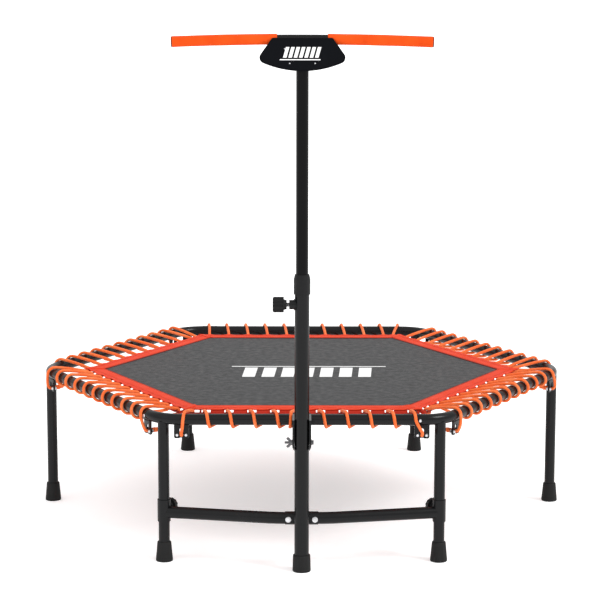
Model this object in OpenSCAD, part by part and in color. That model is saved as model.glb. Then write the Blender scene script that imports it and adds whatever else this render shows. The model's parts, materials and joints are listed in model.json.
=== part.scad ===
// Six-sided fitness trampoline with a T-handle on a telescopic mast.
// Millimetres, +Z up. The origin is on the floor, under the middle of the whole trampoline.
// The mast stands on the -Y side. Corners and sides are numbered counter-clockwise from +X.

/* [Ring] */
// Size of the ring over two opposite corners
across_corners = 1400; // [1360:10:1440]
// Outer diameter of the ring and leg tubes
tube_d = 28; // [27:0.5:30]
// Wall thickness of every steel tube
wall = 1.5; // [1.2:0.1:1.8]
// Height of the ring tube's axis
ring_z = 364; // [350:1:380]
// Bend radius at the corners, on the tube's axis
bend_r = 100; // [90:1:105]
// Length of the joint between two ring segments
joint_len = 40; // [30:1:45]

/* [Feet] */
// Diameter of a foot at the floor
foot_d = 43; // [40:1:46]
// Diameter of a foot at its top
foot_top_d = 35; // [34:0.5:38]
// Height of a foot
foot_h = 50; // [40:1:55]

/* [Mat] */
// Height of the mat's middle plane
mat_z = 367; // [366:0.5:369]
// Distance from the mat's centre to the inner edge of its border
border_in = 467; // [460:1:480]
// Distance from the mat's centre to the outer edge of its border
border_out = 526; // [522:1:528]
// Thickness of the border
border_t = 6.4; // [6:0.1:7]
// Thickness of the mat sheet
sheet_t = 2; // [1.5:0.1:2.4]
// How far the rods hang below the mat's middle plane
rod_drop = 7; // [6.5:0.5:7.5]

/* [Ropes] */
// Diameter of the elastic rope
rope_d = 8; // [7:0.5:8]
// Full turns of one rope round the ring
turns = 9; // [9:1:9]
// Distance between two turns along the side
pitch = 57.5; // [56:0.5:58]
// Distance from the first hook to the first turn
first_step = 28; // [26:1:29]
// Distance of the rope anchors from the middle of a side
anchor_s = 297; // [295:1:299]

/* [Mast] */
// Outer diameter of the lower tube
mast_d = 36; // [35:0.5:37]
// Outer diameter of the upper tube
upper_d = 30; // [29:0.5:30]
// Distance from the ring's centre to the mast's axis
mast_reach = 684; // [682:1:686]
// Top of the lower tube
mast_top = 722; // [715:1:730]
// Bottom of the upper tube
upper_bottom = 600; // [580:1:610]
// Height of the clamp knob
clamp_z = 665; // [655:1:670]
// Height of the bolt that holds the mast in its bracket
cross_bolt_z = 324; // [322:1:328]

/* [Handle] */
// Height of the bar's axis in the middle
bar_z = 1302; // [1280:1:1320]
// Diameter of the bar
bar_d = 22; // [20:0.5:23]
// Outer diameter of the grips
grip_d = 26; // [25:0.5:28]
// Half of the bar's length, to the end of the grip
bar_half = 311; // [300:1:320]
// Distance from the middle to the start of a grip
grip_start = 60; // [50:1:65]
// Drop of the bar's tips below its middle
bar_drop = 6.5; // [5:0.5:8]

/* [Braces] */
// Outer diameter of a brace
brace_d = 30; // [29:0.5:31]
// Height of the braces' axis
brace_z = 125; // [120:1:140]
// Radius of the bend in a brace
brace_bend = 250; // [200:10:300]

/* [Knobs] */
// Diameter of the knobs
knob_d = 38; // [36:1:40]
// Diameter of the mast clamp's stud
stud_d = 10; // [10:1:10]
// Diameter of the sleeve clamps' studs
sleeve_stud_d = 8; // [8:1:8]

/* [Hidden] */
$fn = 64;
tube_r = tube_d / 2;
bore_r = tube_r - wall;
bell_r = tube_r + 0.4;
bell_lap = 3;
leg_reach = across_corners / 2 - tube_r;
arc_x = leg_reach - bend_r;
side_r = arc_x * cos(30) + bend_r;
side_half = (side_r - bend_r) * tan(30);
weld = 0.02;
running = 0.06;
near = 0.3;
rope_r = rope_d / 2;
rod_r = 2.5;
rod_side = border_out - 4;
rod_z = mat_z - rod_drop;
lip_side = border_out - 14;
lip_low = 1.2;
pocket_r = 3.6;
pocket_side = border_out - 23;
rod_half = rod_side * tan(30) - 10;
sheet_side = border_out - 30;
notch_r = 7;
notch_side = rod_side - 5.5;
mast_r = mast_d / 2;
mast_bore = mast_r - wall;
upper_r = upper_d / 2;
cap_r = 22.5;
wrap_tube = tube_r + rope_r + 0.8;
wrap_rod = rod_r + rope_r + 0.8;
ring_y = (mast_reach + cap_r - side_r - wrap_tube - rope_r) / 2;
bar_r = bar_d / 2;
grip_r = grip_d / 2;
bar_bend = (bar_half * bar_half + bar_drop * bar_drop) / (2 * bar_drop);
plate_t = 4;
plate_front_y = -upper_r - 1 - plate_t;
plate_rear_y = upper_r + 1;
brace_r = brace_d / 2;
socket_r = brace_r + 1.5;
socket_y = mast_r + socket_r - 0.5;
socket_half = 41;
sleeve_r = 16.5;
sleeve_low = 102;
sleeve_high = 158;
sleeve_knob_z = 133;
sleeve_knob_turn = 70;
stud_r = stud_d / 2;
sleeve_stud_r = sleeve_stud_d / 2;
knob_r = knob_d / 2;
bracket_half = 23;
bracket_low = 307;
bracket_high = 382;
saddle_half = 22;
saddle_r = tube_r + 3;
saddle_bolt_x = 12;
cross_r = 3;
anchor_z = 326;
anchor_low = 318;
anchor_face = side_r + 8;
anchor_bolt_s = 11;
bar_plate_t = 2.5;
knot_r = 9.5;
black_steel = [0.13, 0.13, 0.14];
black_plastic = [0.08, 0.08, 0.09];
zinc = [0.75, 0.75, 0.77];
mat_grey = [0.25, 0.25, 0.26];
red_orange = [0.92, 0.3, 0.16];
rope_orange = [1, 0.5, 0.22];
grip_orange = [0.98, 0.36, 0.07];

// ---------- placing ----------

// The ring's centre, over the middle of the part's footprint
module at_ring() translate([0, ring_y, 0]) children();

// Corner k: +X points outward through the corner
module at_corner(k) at_ring() rotate([0, 0, 60 * k]) children();

// Side k: +X points outward through its middle, +Y runs counter-clockwise along it
module at_side(k) at_ring() rotate([0, 0, 60 * k + 30]) children();

// The mast's axis on the floor
module at_mast() at_ring() translate([0, -mast_reach, 0]) children();

// Along +X or +Y instead of +Z
module along_x() rotate([0, 90, 0]) children();
module along_y() rotate([-90, 0, 0]) children();

// ---------- shared shapes ----------

module annulus(outer, inner) {
    difference() {
        circle(outer);
        circle(inner);
    }
}

module pipe(outer, inner, length) {
    linear_extrude(length) annulus(outer, inner);
}

// A hexagonal head or nut of the given width over its flats
module hexagon(flats, height) {
    cylinder(d = flats / cos(30), h = height, $fn = 6);
}

// The outside of the ring near one corner, socket and all, to cut what is welded to it
module ring_envelope() {
    r = tube_r + weld;
    translate([arc_x, 0, ring_z]) {
        rotate([0, 0, -30]) rotate_extrude(angle = 60) translate([bend_r, 0]) circle(r);
        rotate([0, 0, 30]) translate([bend_r, 0, 0]) along_y() cylinder(r = r, h = 80);
        rotate([0, 0, -30]) translate([bend_r, bell_lap + weld, 0]) rotate([90, 0, 0])
            cylinder(r = bell_r + weld, h = 80);
    }
}

// A round knob with grip flutes round it. It points along +Z, and its neck starts at z = 0
module fluted_knob(bore, neck, body) {
    flutes = 12;
    difference() {
        union() {
            cylinder(r1 = 11, r2 = 13, h = neck);
            translate([0, 0, neck]) cylinder(r = knob_r, h = body - 3);
            translate([0, 0, neck + body - 3]) cylinder(r1 = knob_r, r2 = knob_r - 3, h = 3);
        }
        translate([0, 0, -1]) cylinder(r = bore, h = neck + body - 8);
        for (i = [0:flutes - 1])
            rotate([0, 0, i * 360 / flutes]) translate([knob_r + 1.2, 0, neck + 2])
                cylinder(r = 3, h = body);
    }
}

// ---------- ring ----------

// One sixth of the ring: a belled socket, the bend, the straight side and a tail for the next socket
module ring_segment(k) {
    side_len = 2 * side_half - joint_len;
    shoulder = 3;
    tail_r = bell_r - wall - 0.1;
    color(black_steel)
    difference() {
        at_corner(k) translate([arc_x, 0, ring_z]) {
            rotate([0, 0, -30]) translate([bend_r, bell_lap, 0]) rotate([90, 0, 0])
                pipe(bell_r, bell_r - wall, joint_len + bell_lap);
            rotate([0, 0, 30]) {
                rotate_extrude(angle = -60) translate([bend_r, 0]) annulus(tube_r, bore_r);
                translate([bend_r, 0, 0]) along_y() {
                    pipe(tube_r, bore_r, side_len - shoulder);
                    translate([0, 0, side_len - shoulder]) pipe(tube_r, tail_r - wall, shoulder);
                    translate([0, 0, side_len]) pipe(tail_r, tail_r - wall, joint_len - 2);
                }
            }
        }
        ring_screw_holes(k - 1, 2.6);
        ring_screw_holes(k, 2.6);
        if (k == 4) bracket_bolt_holes();
    }
}

// The screw that locks the joint at the end of side k
module ring_screw_holes(k, r) {
    at_side(k) translate([side_r - 1, side_half - 1, ring_z]) along_x() cylinder(r = r, h = tube_r + 6);
}

module ring_joint_screws() {
    color(zinc)
    for (k = [0:5])
        at_side(k) translate([side_r, side_half - 1, ring_z]) along_x() {
            translate([0, 0, 8]) cylinder(r = 2.5, h = bell_r - 8);
            translate([0, 0, bell_r]) cylinder(r1 = 4.2, r2 = 3, h = 2.4);
        }
}

// ---------- legs ----------

module leg(k) {
    color(black_steel)
    difference() {
        at_corner(k) translate([leg_reach, 0, 6 + weld]) pipe(tube_r, bore_r, ring_z - 18 - 6 - 2 * weld);
        if (k >= 4) sleeve_stud_dimple(k);
    }
}

// A pad coped to the ring, with a threaded stud that the leg screws on to
module leg_studs() {
    pad_low = ring_z - 18;
    color(black_steel)
    for (k = [0:5])
        at_corner(k) difference() {
            translate([leg_reach, 0, 0]) {
                translate([0, 0, pad_low]) cylinder(r = tube_r, h = 12);
                translate([0, 0, pad_low - 26]) cylinder(r = stud_r, h = 27);
            }
            ring_envelope();
        }
}

// The threaded plug in the top of each leg
module leg_inserts() {
    color(zinc)
    for (k = [0:5])
        at_corner(k) translate([leg_reach, 0, ring_z - 18 - 24]) pipe(bore_r - weld, stud_r + running, 23);
}

module feet() {
    color(black_plastic)
    for (k = [0:5])
        at_corner(k) translate([leg_reach, 0, 0]) rotate_extrude() polygon([
            [0, 0], [foot_d / 2 - 1, 0], [foot_d / 2, 1.5], [foot_d / 2, 5],
            [foot_top_d / 2, foot_h - 2], [foot_top_d / 2 - 1.5, foot_h],
            [tube_r + weld, foot_h], [tube_r + weld, 6], [0, 6]
        ]);
}

// ---------- rope anchors ----------

// Outline of the forked plate, [along the side, up]
module fork_outline() {
    half = 18.6;
    slot = rope_r + 0.6;
    difference() {
        polygon([
            [-half, ring_z], [-half, anchor_low + 3], [-half + 3, anchor_low],
            [half - 3, anchor_low], [half, anchor_low + 3], [half, ring_z]
        ]);
        translate([-slot, anchor_low - 1]) square([2 * slot, 22]);
        translate([0, anchor_low + 21]) circle(slot);
        for (s = [-1, 1]) translate([s * anchor_bolt_s, anchor_z]) circle(2.6);
    }
}

// Turns an outline [along, up] into a plate that faces outward, with its outer face at x
module facing_out(x, thickness) {
    translate([x - thickness, 0, 0]) rotate([90, 0, 90]) linear_extrude(thickness) children();
}

// Both anchors of every side
module at_anchors() {
    for (k = [0:5], end = [-1, 1]) at_side(k) translate([0, end * anchor_s, 0]) children();
}

module anchor_plates() {
    color(black_steel)
    for (k = [0:5], end = [-1, 1])
        difference() {
            at_side(k) translate([0, end * anchor_s, 0]) facing_out(anchor_face, 3) fork_outline();
            at_corner(k + (end + 1) / 2) ring_envelope();
            at_side(k) translate([side_r - 20, end * anchor_s - 30, ring_z]) cube([60, 60, 20]);
        }
}

module anchor_bars() {
    color(black_steel)
    at_anchors() facing_out(anchor_face - 3, bar_plate_t) difference() {
        translate([-16, anchor_z - 7]) square([32, 14]);
        translate([0, anchor_z]) circle(rope_r + 0.6);
        for (s = [-1, 1]) translate([s * anchor_bolt_s, anchor_z]) circle(2.6);
    }
}

module anchor_bolts() {
    back = anchor_face - 3 - bar_plate_t;
    color(zinc)
    at_anchors() for (s = [-1, 1]) translate([0, s * anchor_bolt_s, anchor_z]) {
        translate([anchor_face, 0, 0]) along_x() cylinder(r1 = 4.2, r2 = 3, h = 2.4);
        translate([back - 6, 0, 0]) along_x() cylinder(r = 2.5, h = anchor_face - back + 6);
        translate([back - 4, 0, 0]) along_x() hexagon(8, 4);
    }
}

module rope_knots() {
    back = anchor_face - 3 - bar_plate_t;
    color(rope_orange)
    at_anchors() translate([back - 6 - knot_r, 0, anchor_z]) along_x() rotate_extrude() intersection() {
        circle(knot_r);
        translate([rope_r + 0.1, -knot_r]) square(2 * knot_r);
    }
}

// ---------- ropes ----------

// Where the straight strands touch both circles, as angles above the outward direction
strand_fall = atan((ring_z - rod_z) / (side_r - rod_side));
strand_open = acos((wrap_rod - wrap_tube) / norm([side_r - rod_side, ring_z - rod_z]));
top_touch = strand_fall + strand_open;
low_touch = strand_fall - strand_open;

first_hook = -(first_step + turns * pitch) / 2;

// Place of hook i along the side: hook 0 starts the rope, hooks 1 to 9 start its turns
function hook(i) = i == 0 ? first_hook : first_hook + first_step + (i - 1) * pitch;

// The turn beside the mast's bracket is pushed aside by it
function is_pushed(k, i) = k == 4 && i == 5;
function tube_start(k, i) = is_pushed(k, i) ? -26 : hook(i) + 8;
function tube_end(k, i) = is_pushed(k, i) ? -29 : hook(i) + 19;

function on_tube(a, s) = [side_r + wrap_tube * cos(a), s, ring_z + wrap_tube * sin(a)];
function on_rod(a, s) = [rod_side + wrap_rod * cos(a), s, rod_z + wrap_rod * sin(a)];
function mix(a, b, t) = a + (b - a) * t;

// Over the ring tube and down its outer side, between two places along the side
function over_tube(s0, s1, a1, steps) =
    [for (j = [0:steps]) on_tube(mix(top_touch, a1, j / steps), mix(s0, s1, j / steps))];

// Round the inner side of the rod, upward
function round_rod(s, a0, steps) =
    [for (j = [0:steps]) on_rod(mix(a0, top_touch, j / steps), s)];

// From the knot out through the anchor plate and up to the tube's outer side
function anchor_run(s, s_tube) = [
    for (x = [-36, -18, -7, 2]) [anchor_face + x, s, anchor_z],
    [anchor_face + 5.5, s, anchor_z + 2.2],
    [side_r + wrap_tube - 2, s, anchor_z + 8],
    [side_r + wrap_tube, mix(s, s_tube, 0.4), anchor_z + 18]
];

function reversed(list) = [for (i = [len(list) - 1:-1:0]) list[i]];

// The whole rope of side k: anchor, first hook, a short run under the border, the turns, anchor
function rope_path(k) = concat(
    anchor_run(-anchor_s, 5 - anchor_s),
    reversed(over_tube(8 - anchor_s, 4 - anchor_s, 0, 3)),
    reversed(round_rod(hook(0), 215, 3)),
    [
        [rod_side - 5, hook(0) + 5, rod_z - 8],
        [rod_side - 3, (hook(0) + hook(1)) / 2, rod_z - 9.2],
        [rod_side - 5, hook(1) - 5, rod_z - 8]
    ],
    round_rod(hook(1), 215, 3),
    [
        for (i = [1:turns]) each concat(
            over_tube(tube_start(k, i), tube_end(k, i), low_touch, 7),
            round_rod(hook(i + 1), 360 + low_touch, 4)
        )
    ],
    over_tube(hook(turns + 1) + 4, hook(turns + 1) + 9, 0, 3),
    reversed(anchor_run(anchor_s, hook(turns + 1) + 12))
);

function unit(v) = v / norm(v);

// Directions along a path, and a sideways direction carried along it without twist
function directions(p) = [
    for (i = [0:len(p) - 1]) unit(p[min(i + 1, len(p) - 1)] - p[max(i - 1, 0)])
];
function sideways(t) = [
    for (
        i = 0, n = unit(cross(t[0], [0, 0, 1]));
        i < len(t);
        i = i + 1, n = i < len(t) ? unit(n - (n * t[i]) * t[i]) : n
    ) n
];

// A cord of round section along the path
module sweep_cord(p, r, sides) {
    t = directions(p);
    n = sideways(t);
    count = len(p);
    points = [
        for (i = [0:count - 1], j = [0:sides - 1])
            p[i] + r * (cos(360 * j / sides) * n[i] + sin(360 * j / sides) * cross(t[i], n[i]))
    ];
    walls = [
        for (i = [0:count - 2], j = [0:sides - 1])
            let (a = i * sides + j, b = i * sides + (j + 1) % sides)
            [a, a + sides, b + sides, b]
    ];
    start_cap = [for (j = [0:sides - 1]) j];
    end_cap = [for (j = [sides - 1:-1:0]) (count - 1) * sides + j];
    polyhedron(points, concat(walls, [start_cap, end_cap]));
}

module rope(k) {
    color(rope_orange) at_side(k) sweep_cord(rope_path(k), rope_r, 6);
}

// ---------- mat ----------

module mat_sheet() {
    color(mat_grey)
    at_ring() translate([0, 0, mat_z - sheet_t / 2])
        cylinder(r = sheet_side / cos(30), h = sheet_t, $fn = 6);
}

// Outline of one border strip, mitred at the corners
module border_outline() {
    gap = 0.4;
    low = border_in * tan(30) - gap;
    high = border_out * tan(30) - gap;
    polygon([[border_in, -low], [border_out, -high], [border_out, high], [border_in, low]]);
}

// Section of the border, [outward, up]: a flat band whose top ends in a lip, over a pocket for the rod
module border_section() {
    half = border_t / 2;
    polygon([
        [border_in, mat_z - half], [border_in, mat_z + half],
        [lip_side, mat_z + half], [lip_side, mat_z + lip_low],
        [border_out, rod_z + 2.5], [border_out, rod_z - 2.5],
        [rod_side + 1.5, rod_z - pocket_r], [rod_side - 2.5, rod_z - pocket_r],
        [pocket_side, mat_z - half]
    ]);
}

// Cuts through the pocket below the lip, where the rope hooks on to the rod
module border_notches() {
    translate([0, 0, rod_z - 10]) linear_extrude(rod_drop + lip_low + 10)
        for (i = [0:turns + 1]) translate([notch_side, hook(i)]) {
            circle(notch_r);
            translate([0, -notch_r]) square([30, 2 * notch_r]);
        }
}

module border_strips() {
    slot = sheet_side + 0.2 - border_in;
    color(red_orange)
    for (k = [0:5])
        at_side(k) difference() {
            intersection() {
                translate([0, 0, rod_z - 10]) linear_extrude(30) border_outline();
                translate([0, 400, 0]) rotate([90, 0, 0]) linear_extrude(800) border_section();
            }
            border_notches();
            translate([border_in - 1, -400, mat_z - sheet_t / 2 - weld])
                cube([slot + 1, 800, sheet_t + 2 * weld]);
            translate([rod_side, -400, rod_z]) along_y() cylinder(r = rod_r + 0.05, h = 800);
        }
}

module mat_rods() {
    color(zinc)
    for (k = [0:5])
        at_side(k) translate([rod_side, -rod_half, rod_z]) along_y() cylinder(r = rod_r, h = 2 * rod_half);
}

// ---------- mast, lower part ----------

module mast_lower_tube() {
    color(black_steel)
    at_mast() difference() {
        translate([0, 0, 5 + weld]) pipe(mast_r, mast_bore, mast_top - 5 - weld);
        translate([-mast_r - 5, 0, clamp_z]) along_x() cylinder(r = stud_r + near, h = mast_r + 5);
        translate([-mast_r - 5, 0, cross_bolt_z]) along_x() cylinder(r = cross_r + 0.2, h = mast_d + 10);
    }
}

module mast_foot_cap() {
    color(black_plastic)
    at_mast() rotate_extrude() polygon([
        [0, 0], [cap_r - 1, 0], [cap_r, 1.5], [cap_r, 6], [cap_r - 1, 40], [cap_r - 2.5, 42],
        [mast_r + weld, 42], [mast_r + weld, 5], [0, 5]
    ]);
}

// The bush that guides the upper tube: a sleeve inside the lower tube and a skirt outside it
module mast_collar() {
    guide = upper_r + running;
    sleeve = mast_bore - weld;
    skirt = mast_r + weld;
    outside = mast_r + 2.25;
    low = mast_top - 31;
    color(black_plastic)
    at_mast() rotate_extrude() polygon([
        [guide, mast_top - 40], [sleeve, mast_top - 40], [sleeve, mast_top + weld],
        [skirt, mast_top + weld], [skirt, low], [outside, low], [outside, mast_top + 5],
        [outside - 2.75, mast_top + 17], [guide, mast_top + 17]
    ]);
}

// Short cross tube welded behind the mast, which holds the inner ends of both braces
module mast_cross_socket() {
    color(black_steel)
    at_mast() difference() {
        translate([-socket_half, socket_y, brace_z]) along_x() pipe(socket_r, brace_r + running, 2 * socket_half);
        cylinder(r = mast_r + weld, h = 400);
        for (x = [-1, 1]) translate([x * 33, socket_y - 30, brace_z]) along_y() cylinder(r = 3.1, h = 60);
    }
}

module clamp_boss() {
    color(black_steel)
    at_mast() difference() {
        translate([-31, 0, clamp_z]) along_x() cylinder(r = 11.5, h = 20);
        translate([-40, 0, clamp_z]) along_x() cylinder(r = stud_r + running, h = 40);
        cylinder(r = mast_r + weld, h = 800);
    }
}

// ---------- mast bracket ----------

// Front of the ring tube's saddle, from the mast's axis
saddle_front = mast_reach - side_r - saddle_r;

module mast_bracket() {
    inside = mast_r + 0.2;
    web = 4;
    cheek = [
        [inside, bracket_high], [bracket_half, bracket_high], [bracket_half, bracket_low + 8],
        [bracket_half - 3.5, bracket_low], [inside, bracket_low]
    ];
    front = -mast_r + 4;
    color(black_steel)
    at_mast() difference() {
        union() {
            for (side = [0, 1]) mirror([side, 0, 0]) translate([0, saddle_front, 0])
                rotate([90, 0, 0]) linear_extrude(saddle_front - front) polygon(cheek);
            translate([-inside, saddle_front - web, bracket_low])
                cube([2 * inside, web, bracket_high - bracket_low]);
        }
        translate([-40, 0, cross_bolt_z]) along_x() cylinder(r = cross_r + 0.2, h = 80);
        for (x = [-1, 1]) translate([x * saddle_bolt_x, 0, ring_z]) along_y() cylinder(r = 3.2, h = 80);
    }
}

// Half shell on the outer side of the ring tube, welded to the bracket
module bracket_saddle() {
    flat = 5;
    color(black_steel)
    at_side(4) difference() {
        union() {
            translate([side_r, -saddle_half, ring_z]) along_y() cylinder(r = saddle_r, h = 2 * saddle_half);
            translate([side_r, -saddle_half, ring_z - flat]) cube([saddle_r, 2 * saddle_half, 2 * flat]);
        }
        translate([side_r, -saddle_half - 1, ring_z]) along_y()
            cylinder(r = tube_r + weld, h = 2 * saddle_half + 2);
        translate([side_r - 30, -saddle_half - 1, ring_z - 30]) cube([32, 2 * saddle_half + 2, 60]);
        bracket_bolt_cuts(3.2);
    }
}

// In the frame of side 4
module bracket_bolt_cuts(r) {
    for (s = [-1, 1]) translate([side_r - 40, s * saddle_bolt_x, ring_z]) along_x() cylinder(r = r, h = 80);
}

module bracket_bolt_holes() at_side(4) bracket_bolt_cuts(3.2);

module bracket_bolts() {
    front = side_r + saddle_r + 4;
    color(zinc)
    at_side(4) for (s = [-1, 1]) translate([0, s * saddle_bolt_x, ring_z]) {
        translate([side_r - tube_r - 2.6, 0, 0]) along_x() cylinder(r = 5, h = 2.2);
        translate([side_r - tube_r - 1, 0, 0]) along_x() cylinder(r = 3, h = front - side_r + tube_r + 7);
        translate([front, 0, 0]) along_x() hexagon(10, 5);
    }
}

module cross_bolt() {
    color(zinc)
    at_mast() translate([0, 0, cross_bolt_z]) {
        translate([-42, 0, 0]) along_x() cylinder(r = cross_r, h = 42 + bracket_half);
        translate([bracket_half, 0, 0]) along_x() cylinder(r = 7, h = 1.5);
        translate([bracket_half + 1.5, 0, 0]) along_x() hexagon(10, 4.5);
    }
}

module wing_washer() {
    color(zinc)
    at_mast() translate([-bracket_half - 1.6, 0, cross_bolt_z]) along_x() pipe(7, cross_r + running, 1.6);
}

module wing_nut() {
    start = bracket_half + 1.65;
    color(zinc)
    at_mast() translate([-start, 0, cross_bolt_z]) rotate([0, -90, 0]) difference() {
        union() {
            cylinder(r1 = 6, r2 = 5, h = 8);
            for (side = [0, 1]) mirror([side, 0, 0]) rotate([90, 0, 0]) translate([0, 0, -1.25])
                linear_extrude(2.5) polygon([[3.5, 1], [5.5, 1], [12, 6], [13, 10], [11, 13], [8, 12.5], [3.5, 7]]);
        }
        translate([0, 0, -1]) cylinder(r = cross_r + running, h = 20);
    }
}

// ---------- braces ----------

// The right brace's bend, solved so that its far end points at the leg's axis
brace_centre = [socket_half, socket_y + brace_bend];
leg_from_mast = [leg_reach * cos(60), mast_reach - leg_reach * sin(60)];
brace_to_leg = leg_from_mast - brace_centre;
brace_turn = asin(brace_bend / norm(brace_to_leg)) - atan2(-brace_to_leg[1], brace_to_leg[0]);
brace_run = sqrt(norm(brace_to_leg) ^ 2 - brace_bend ^ 2);

module right_brace() {
    inner = 6;
    lap = 3;
    swaged_r = brace_r - 0.1;
    color(black_steel)
    at_mast() difference() {
        union() {
            translate([inner, socket_y, brace_z]) along_x()
                pipe(swaged_r, swaged_r - wall - 0.1, socket_half - inner + lap);
            translate([brace_centre[0], brace_centre[1], brace_z]) rotate([0, 0, brace_turn - 90]) {
                rotate_extrude(angle = -brace_turn) translate([brace_bend, 0])
                    annulus(brace_r, brace_r - wall);
                translate([brace_bend, 0, 0]) along_y() pipe(brace_r, brace_r - wall, brace_run);
            }
        }
        translate([leg_from_mast[0], leg_from_mast[1], 0]) cylinder(r = sleeve_r + weld, h = 300);
        translate([33, socket_y - 30, brace_z]) along_y() cylinder(r = 3.1, h = 60);
    }
}

module brace_right() right_brace();
module brace_left() mirror([1, 0, 0]) right_brace();

module brace_sleeves() {
    color(black_steel)
    for (k = [4, 5]) difference() {
        union() {
            at_corner(k) translate([leg_reach, 0, sleeve_low])
                pipe(sleeve_r, tube_r + 0.05, sleeve_high - sleeve_low);
            at_sleeve_knob(k) difference() {
                translate([0, 0, sleeve_r - 1.5]) cylinder(r = 9, h = 7.5);
                cylinder(r = tube_r + 1, h = sleeve_r - 1);
            }
        }
        at_corner(k) translate([leg_reach, 0, 0]) cylinder(r = tube_r + 0.05, h = 300);
        at_sleeve_knob(k) cylinder(r = sleeve_stud_r + running, h = 40);
    }
}

// The axis of a sleeve's clamp, as +Z, from the leg's axis towards the middle and the back
module at_sleeve_knob(k) {
    turn = k == 4 ? sleeve_knob_turn : 180 - sleeve_knob_turn;
    at_ring() rotate([0, 0, 60 * k]) translate([leg_reach, 0, sleeve_knob_z])
        rotate([0, 0, turn - 60 * k]) along_x() children();
}

module sleeve_stud_dimple(k) at_sleeve_knob(k) translate([0, 0, tube_r - 0.3]) cylinder(r = 6, h = 4);

module sleeve_stud(k) {
    color(zinc) at_sleeve_knob(k) translate([0, 0, tube_r]) cylinder(r = sleeve_stud_r, h = 24);
}

module sleeve_knob(k) {
    color(black_plastic) at_sleeve_knob(k) translate([0, 0, 24]) fluted_knob(sleeve_stud_r + running, 5, 18);
}

// Bolts that hold the braces in the cross socket
module brace_bolts() {
    color(zinc)
    at_mast() for (x = [-33, 33]) translate([x, socket_y, brace_z]) {
        translate([0, -socket_r - 1.5, 0]) rotate([90, 0, 0]) hexagon(10, 4);
        translate([0, -socket_r - 1.5, 0]) along_y() cylinder(r = 7, h = 1.5);
        translate([0, -socket_r - 1, 0]) along_y() cylinder(r = 3, h = 2 * socket_r + 8);
        translate([0, socket_r, 0]) along_y() hexagon(10, 5);
    }
}

// ---------- mast, upper part ----------

// A length of the bar's shallow arc between two distances from the middle
module bar_arc(x0, x1, outer, inner) {
    a0 = asin(x0 / bar_bend);
    a1 = asin(x1 / bar_bend);
    translate([0, 0, bar_z - bar_bend]) rotate([90, 0, 0]) rotate([0, 0, 90 - a1])
        rotate_extrude(angle = a1 - a0, $fn = 2000) translate([bar_bend, 0]) {
            if (inner > 0) annulus(outer, inner);
            else circle(outer, $fn = 64);
        }
}

module upper_tube() {
    color(black_steel)
    at_mast() difference() {
        translate([0, 0, upper_bottom]) pipe(upper_r, upper_r - wall, bar_z - upper_bottom);
        bar_arc(-40, 40, bar_r + weld, 0);
    }
}

// Bush on the foot of the upper tube, which keeps it centred in the lower tube
module upper_tube_bush() {
    outside = mast_bore - running;
    low = upper_bottom - 4;
    color(black_plastic)
    at_mast() rotate_extrude() polygon([
        [upper_r - wall - weld, low], [outside, low], [outside, upper_bottom + 20],
        [upper_r + weld, upper_bottom + 20], [upper_r + weld, upper_bottom - weld],
        [upper_r - wall - weld, upper_bottom - weld]
    ]);
}

module t_bar() {
    color(black_steel) at_mast() bar_arc(2 - bar_half, bar_half - 2, bar_r, bar_r - wall);
}

module grip_right() {
    color(grip_orange) at_mast() bar_arc(grip_start, bar_half - 2, grip_r, bar_r + weld);
}

module grip_left() {
    color(grip_orange) at_mast() bar_arc(2 - bar_half, -grip_start, grip_r, bar_r + weld);
}

module bar_end_plugs() {
    tilt = asin(bar_half / bar_bend);
    stem = bar_r - wall - 0.1;
    color(black_plastic)
    at_mast() for (side = [0, 1]) mirror([side, 0, 0])
        translate([0, 0, bar_z - bar_bend]) rotate([0, tilt, 0]) translate([0, 0, bar_bend]) {
            translate([-2 + weld, 0, 0]) along_x() cylinder(r = grip_r - 0.5, h = 2 - weld);
            translate([-18, 0, 0]) along_x() cylinder(r = stem, h = 17);
        }
}

// Points of an arc
function arc(c, r, a0, a1, steps) =
    [for (i = [0:steps]) c + r * [cos(mix(a0, a1, i / steps)), sin(mix(a0, a1, i / steps))]];

// Right half of the plate's outline, [across, up], from the top to the bottom
belly_r = 238;
belly = [0, bar_z - 74.4 + belly_r];
top_round = 6;
top_corner = [68.5, bar_z - 2];
low_round = 14;
low_corner = [87.5, belly[1] - sqrt((belly_r - low_round) ^ 2 - 87.5 ^ 2)];
flank = top_corner - low_corner;
flank_turn = atan2(flank[1], flank[0]) - acos((low_round - top_round) / norm(flank));
belly_turn = atan2(low_corner[1] - belly[1], low_corner[0]);
half_outline = concat(
    arc(top_corner, top_round, 90, flank_turn, 4),
    arc(low_corner, low_round, flank_turn, belly_turn, 10),
    arc(belly, belly_r, belly_turn, -90, 12)
);
plate_screw_places = [[-42, bar_z - 22], [42, bar_z - 22], [-30, bar_z - 56], [30, bar_z - 56]];

module plate_outline() {
    left = [for (p = reversed(half_outline)) [-p[0], p[1]]];
    polygon(concat(half_outline, [for (i = [1:len(left) - 1]) left[i]]));
}

// A plate in the plane of the outline, from y to y + thickness
module plate_at(y, thickness) {
    at_mast() translate([0, y + thickness, 0]) rotate([90, 0, 0]) linear_extrude(thickness) children();
}

module plate_front() {
    color(black_plastic)
    plate_at(plate_front_y, plate_t) difference() {
        plate_outline();
        for (p = plate_screw_places) translate(p) circle(1.6);
    }
}

// Smaller plate behind the tube, which the screws pull towards the front plate
module plate_rear() {
    color(black_plastic)
    plate_at(plate_rear_y, 3) difference() {
        translate([-50, bar_z - 66]) square([100, 54]);
        for (p = plate_screw_places) translate(p) circle(2.2);
    }
}

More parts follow.
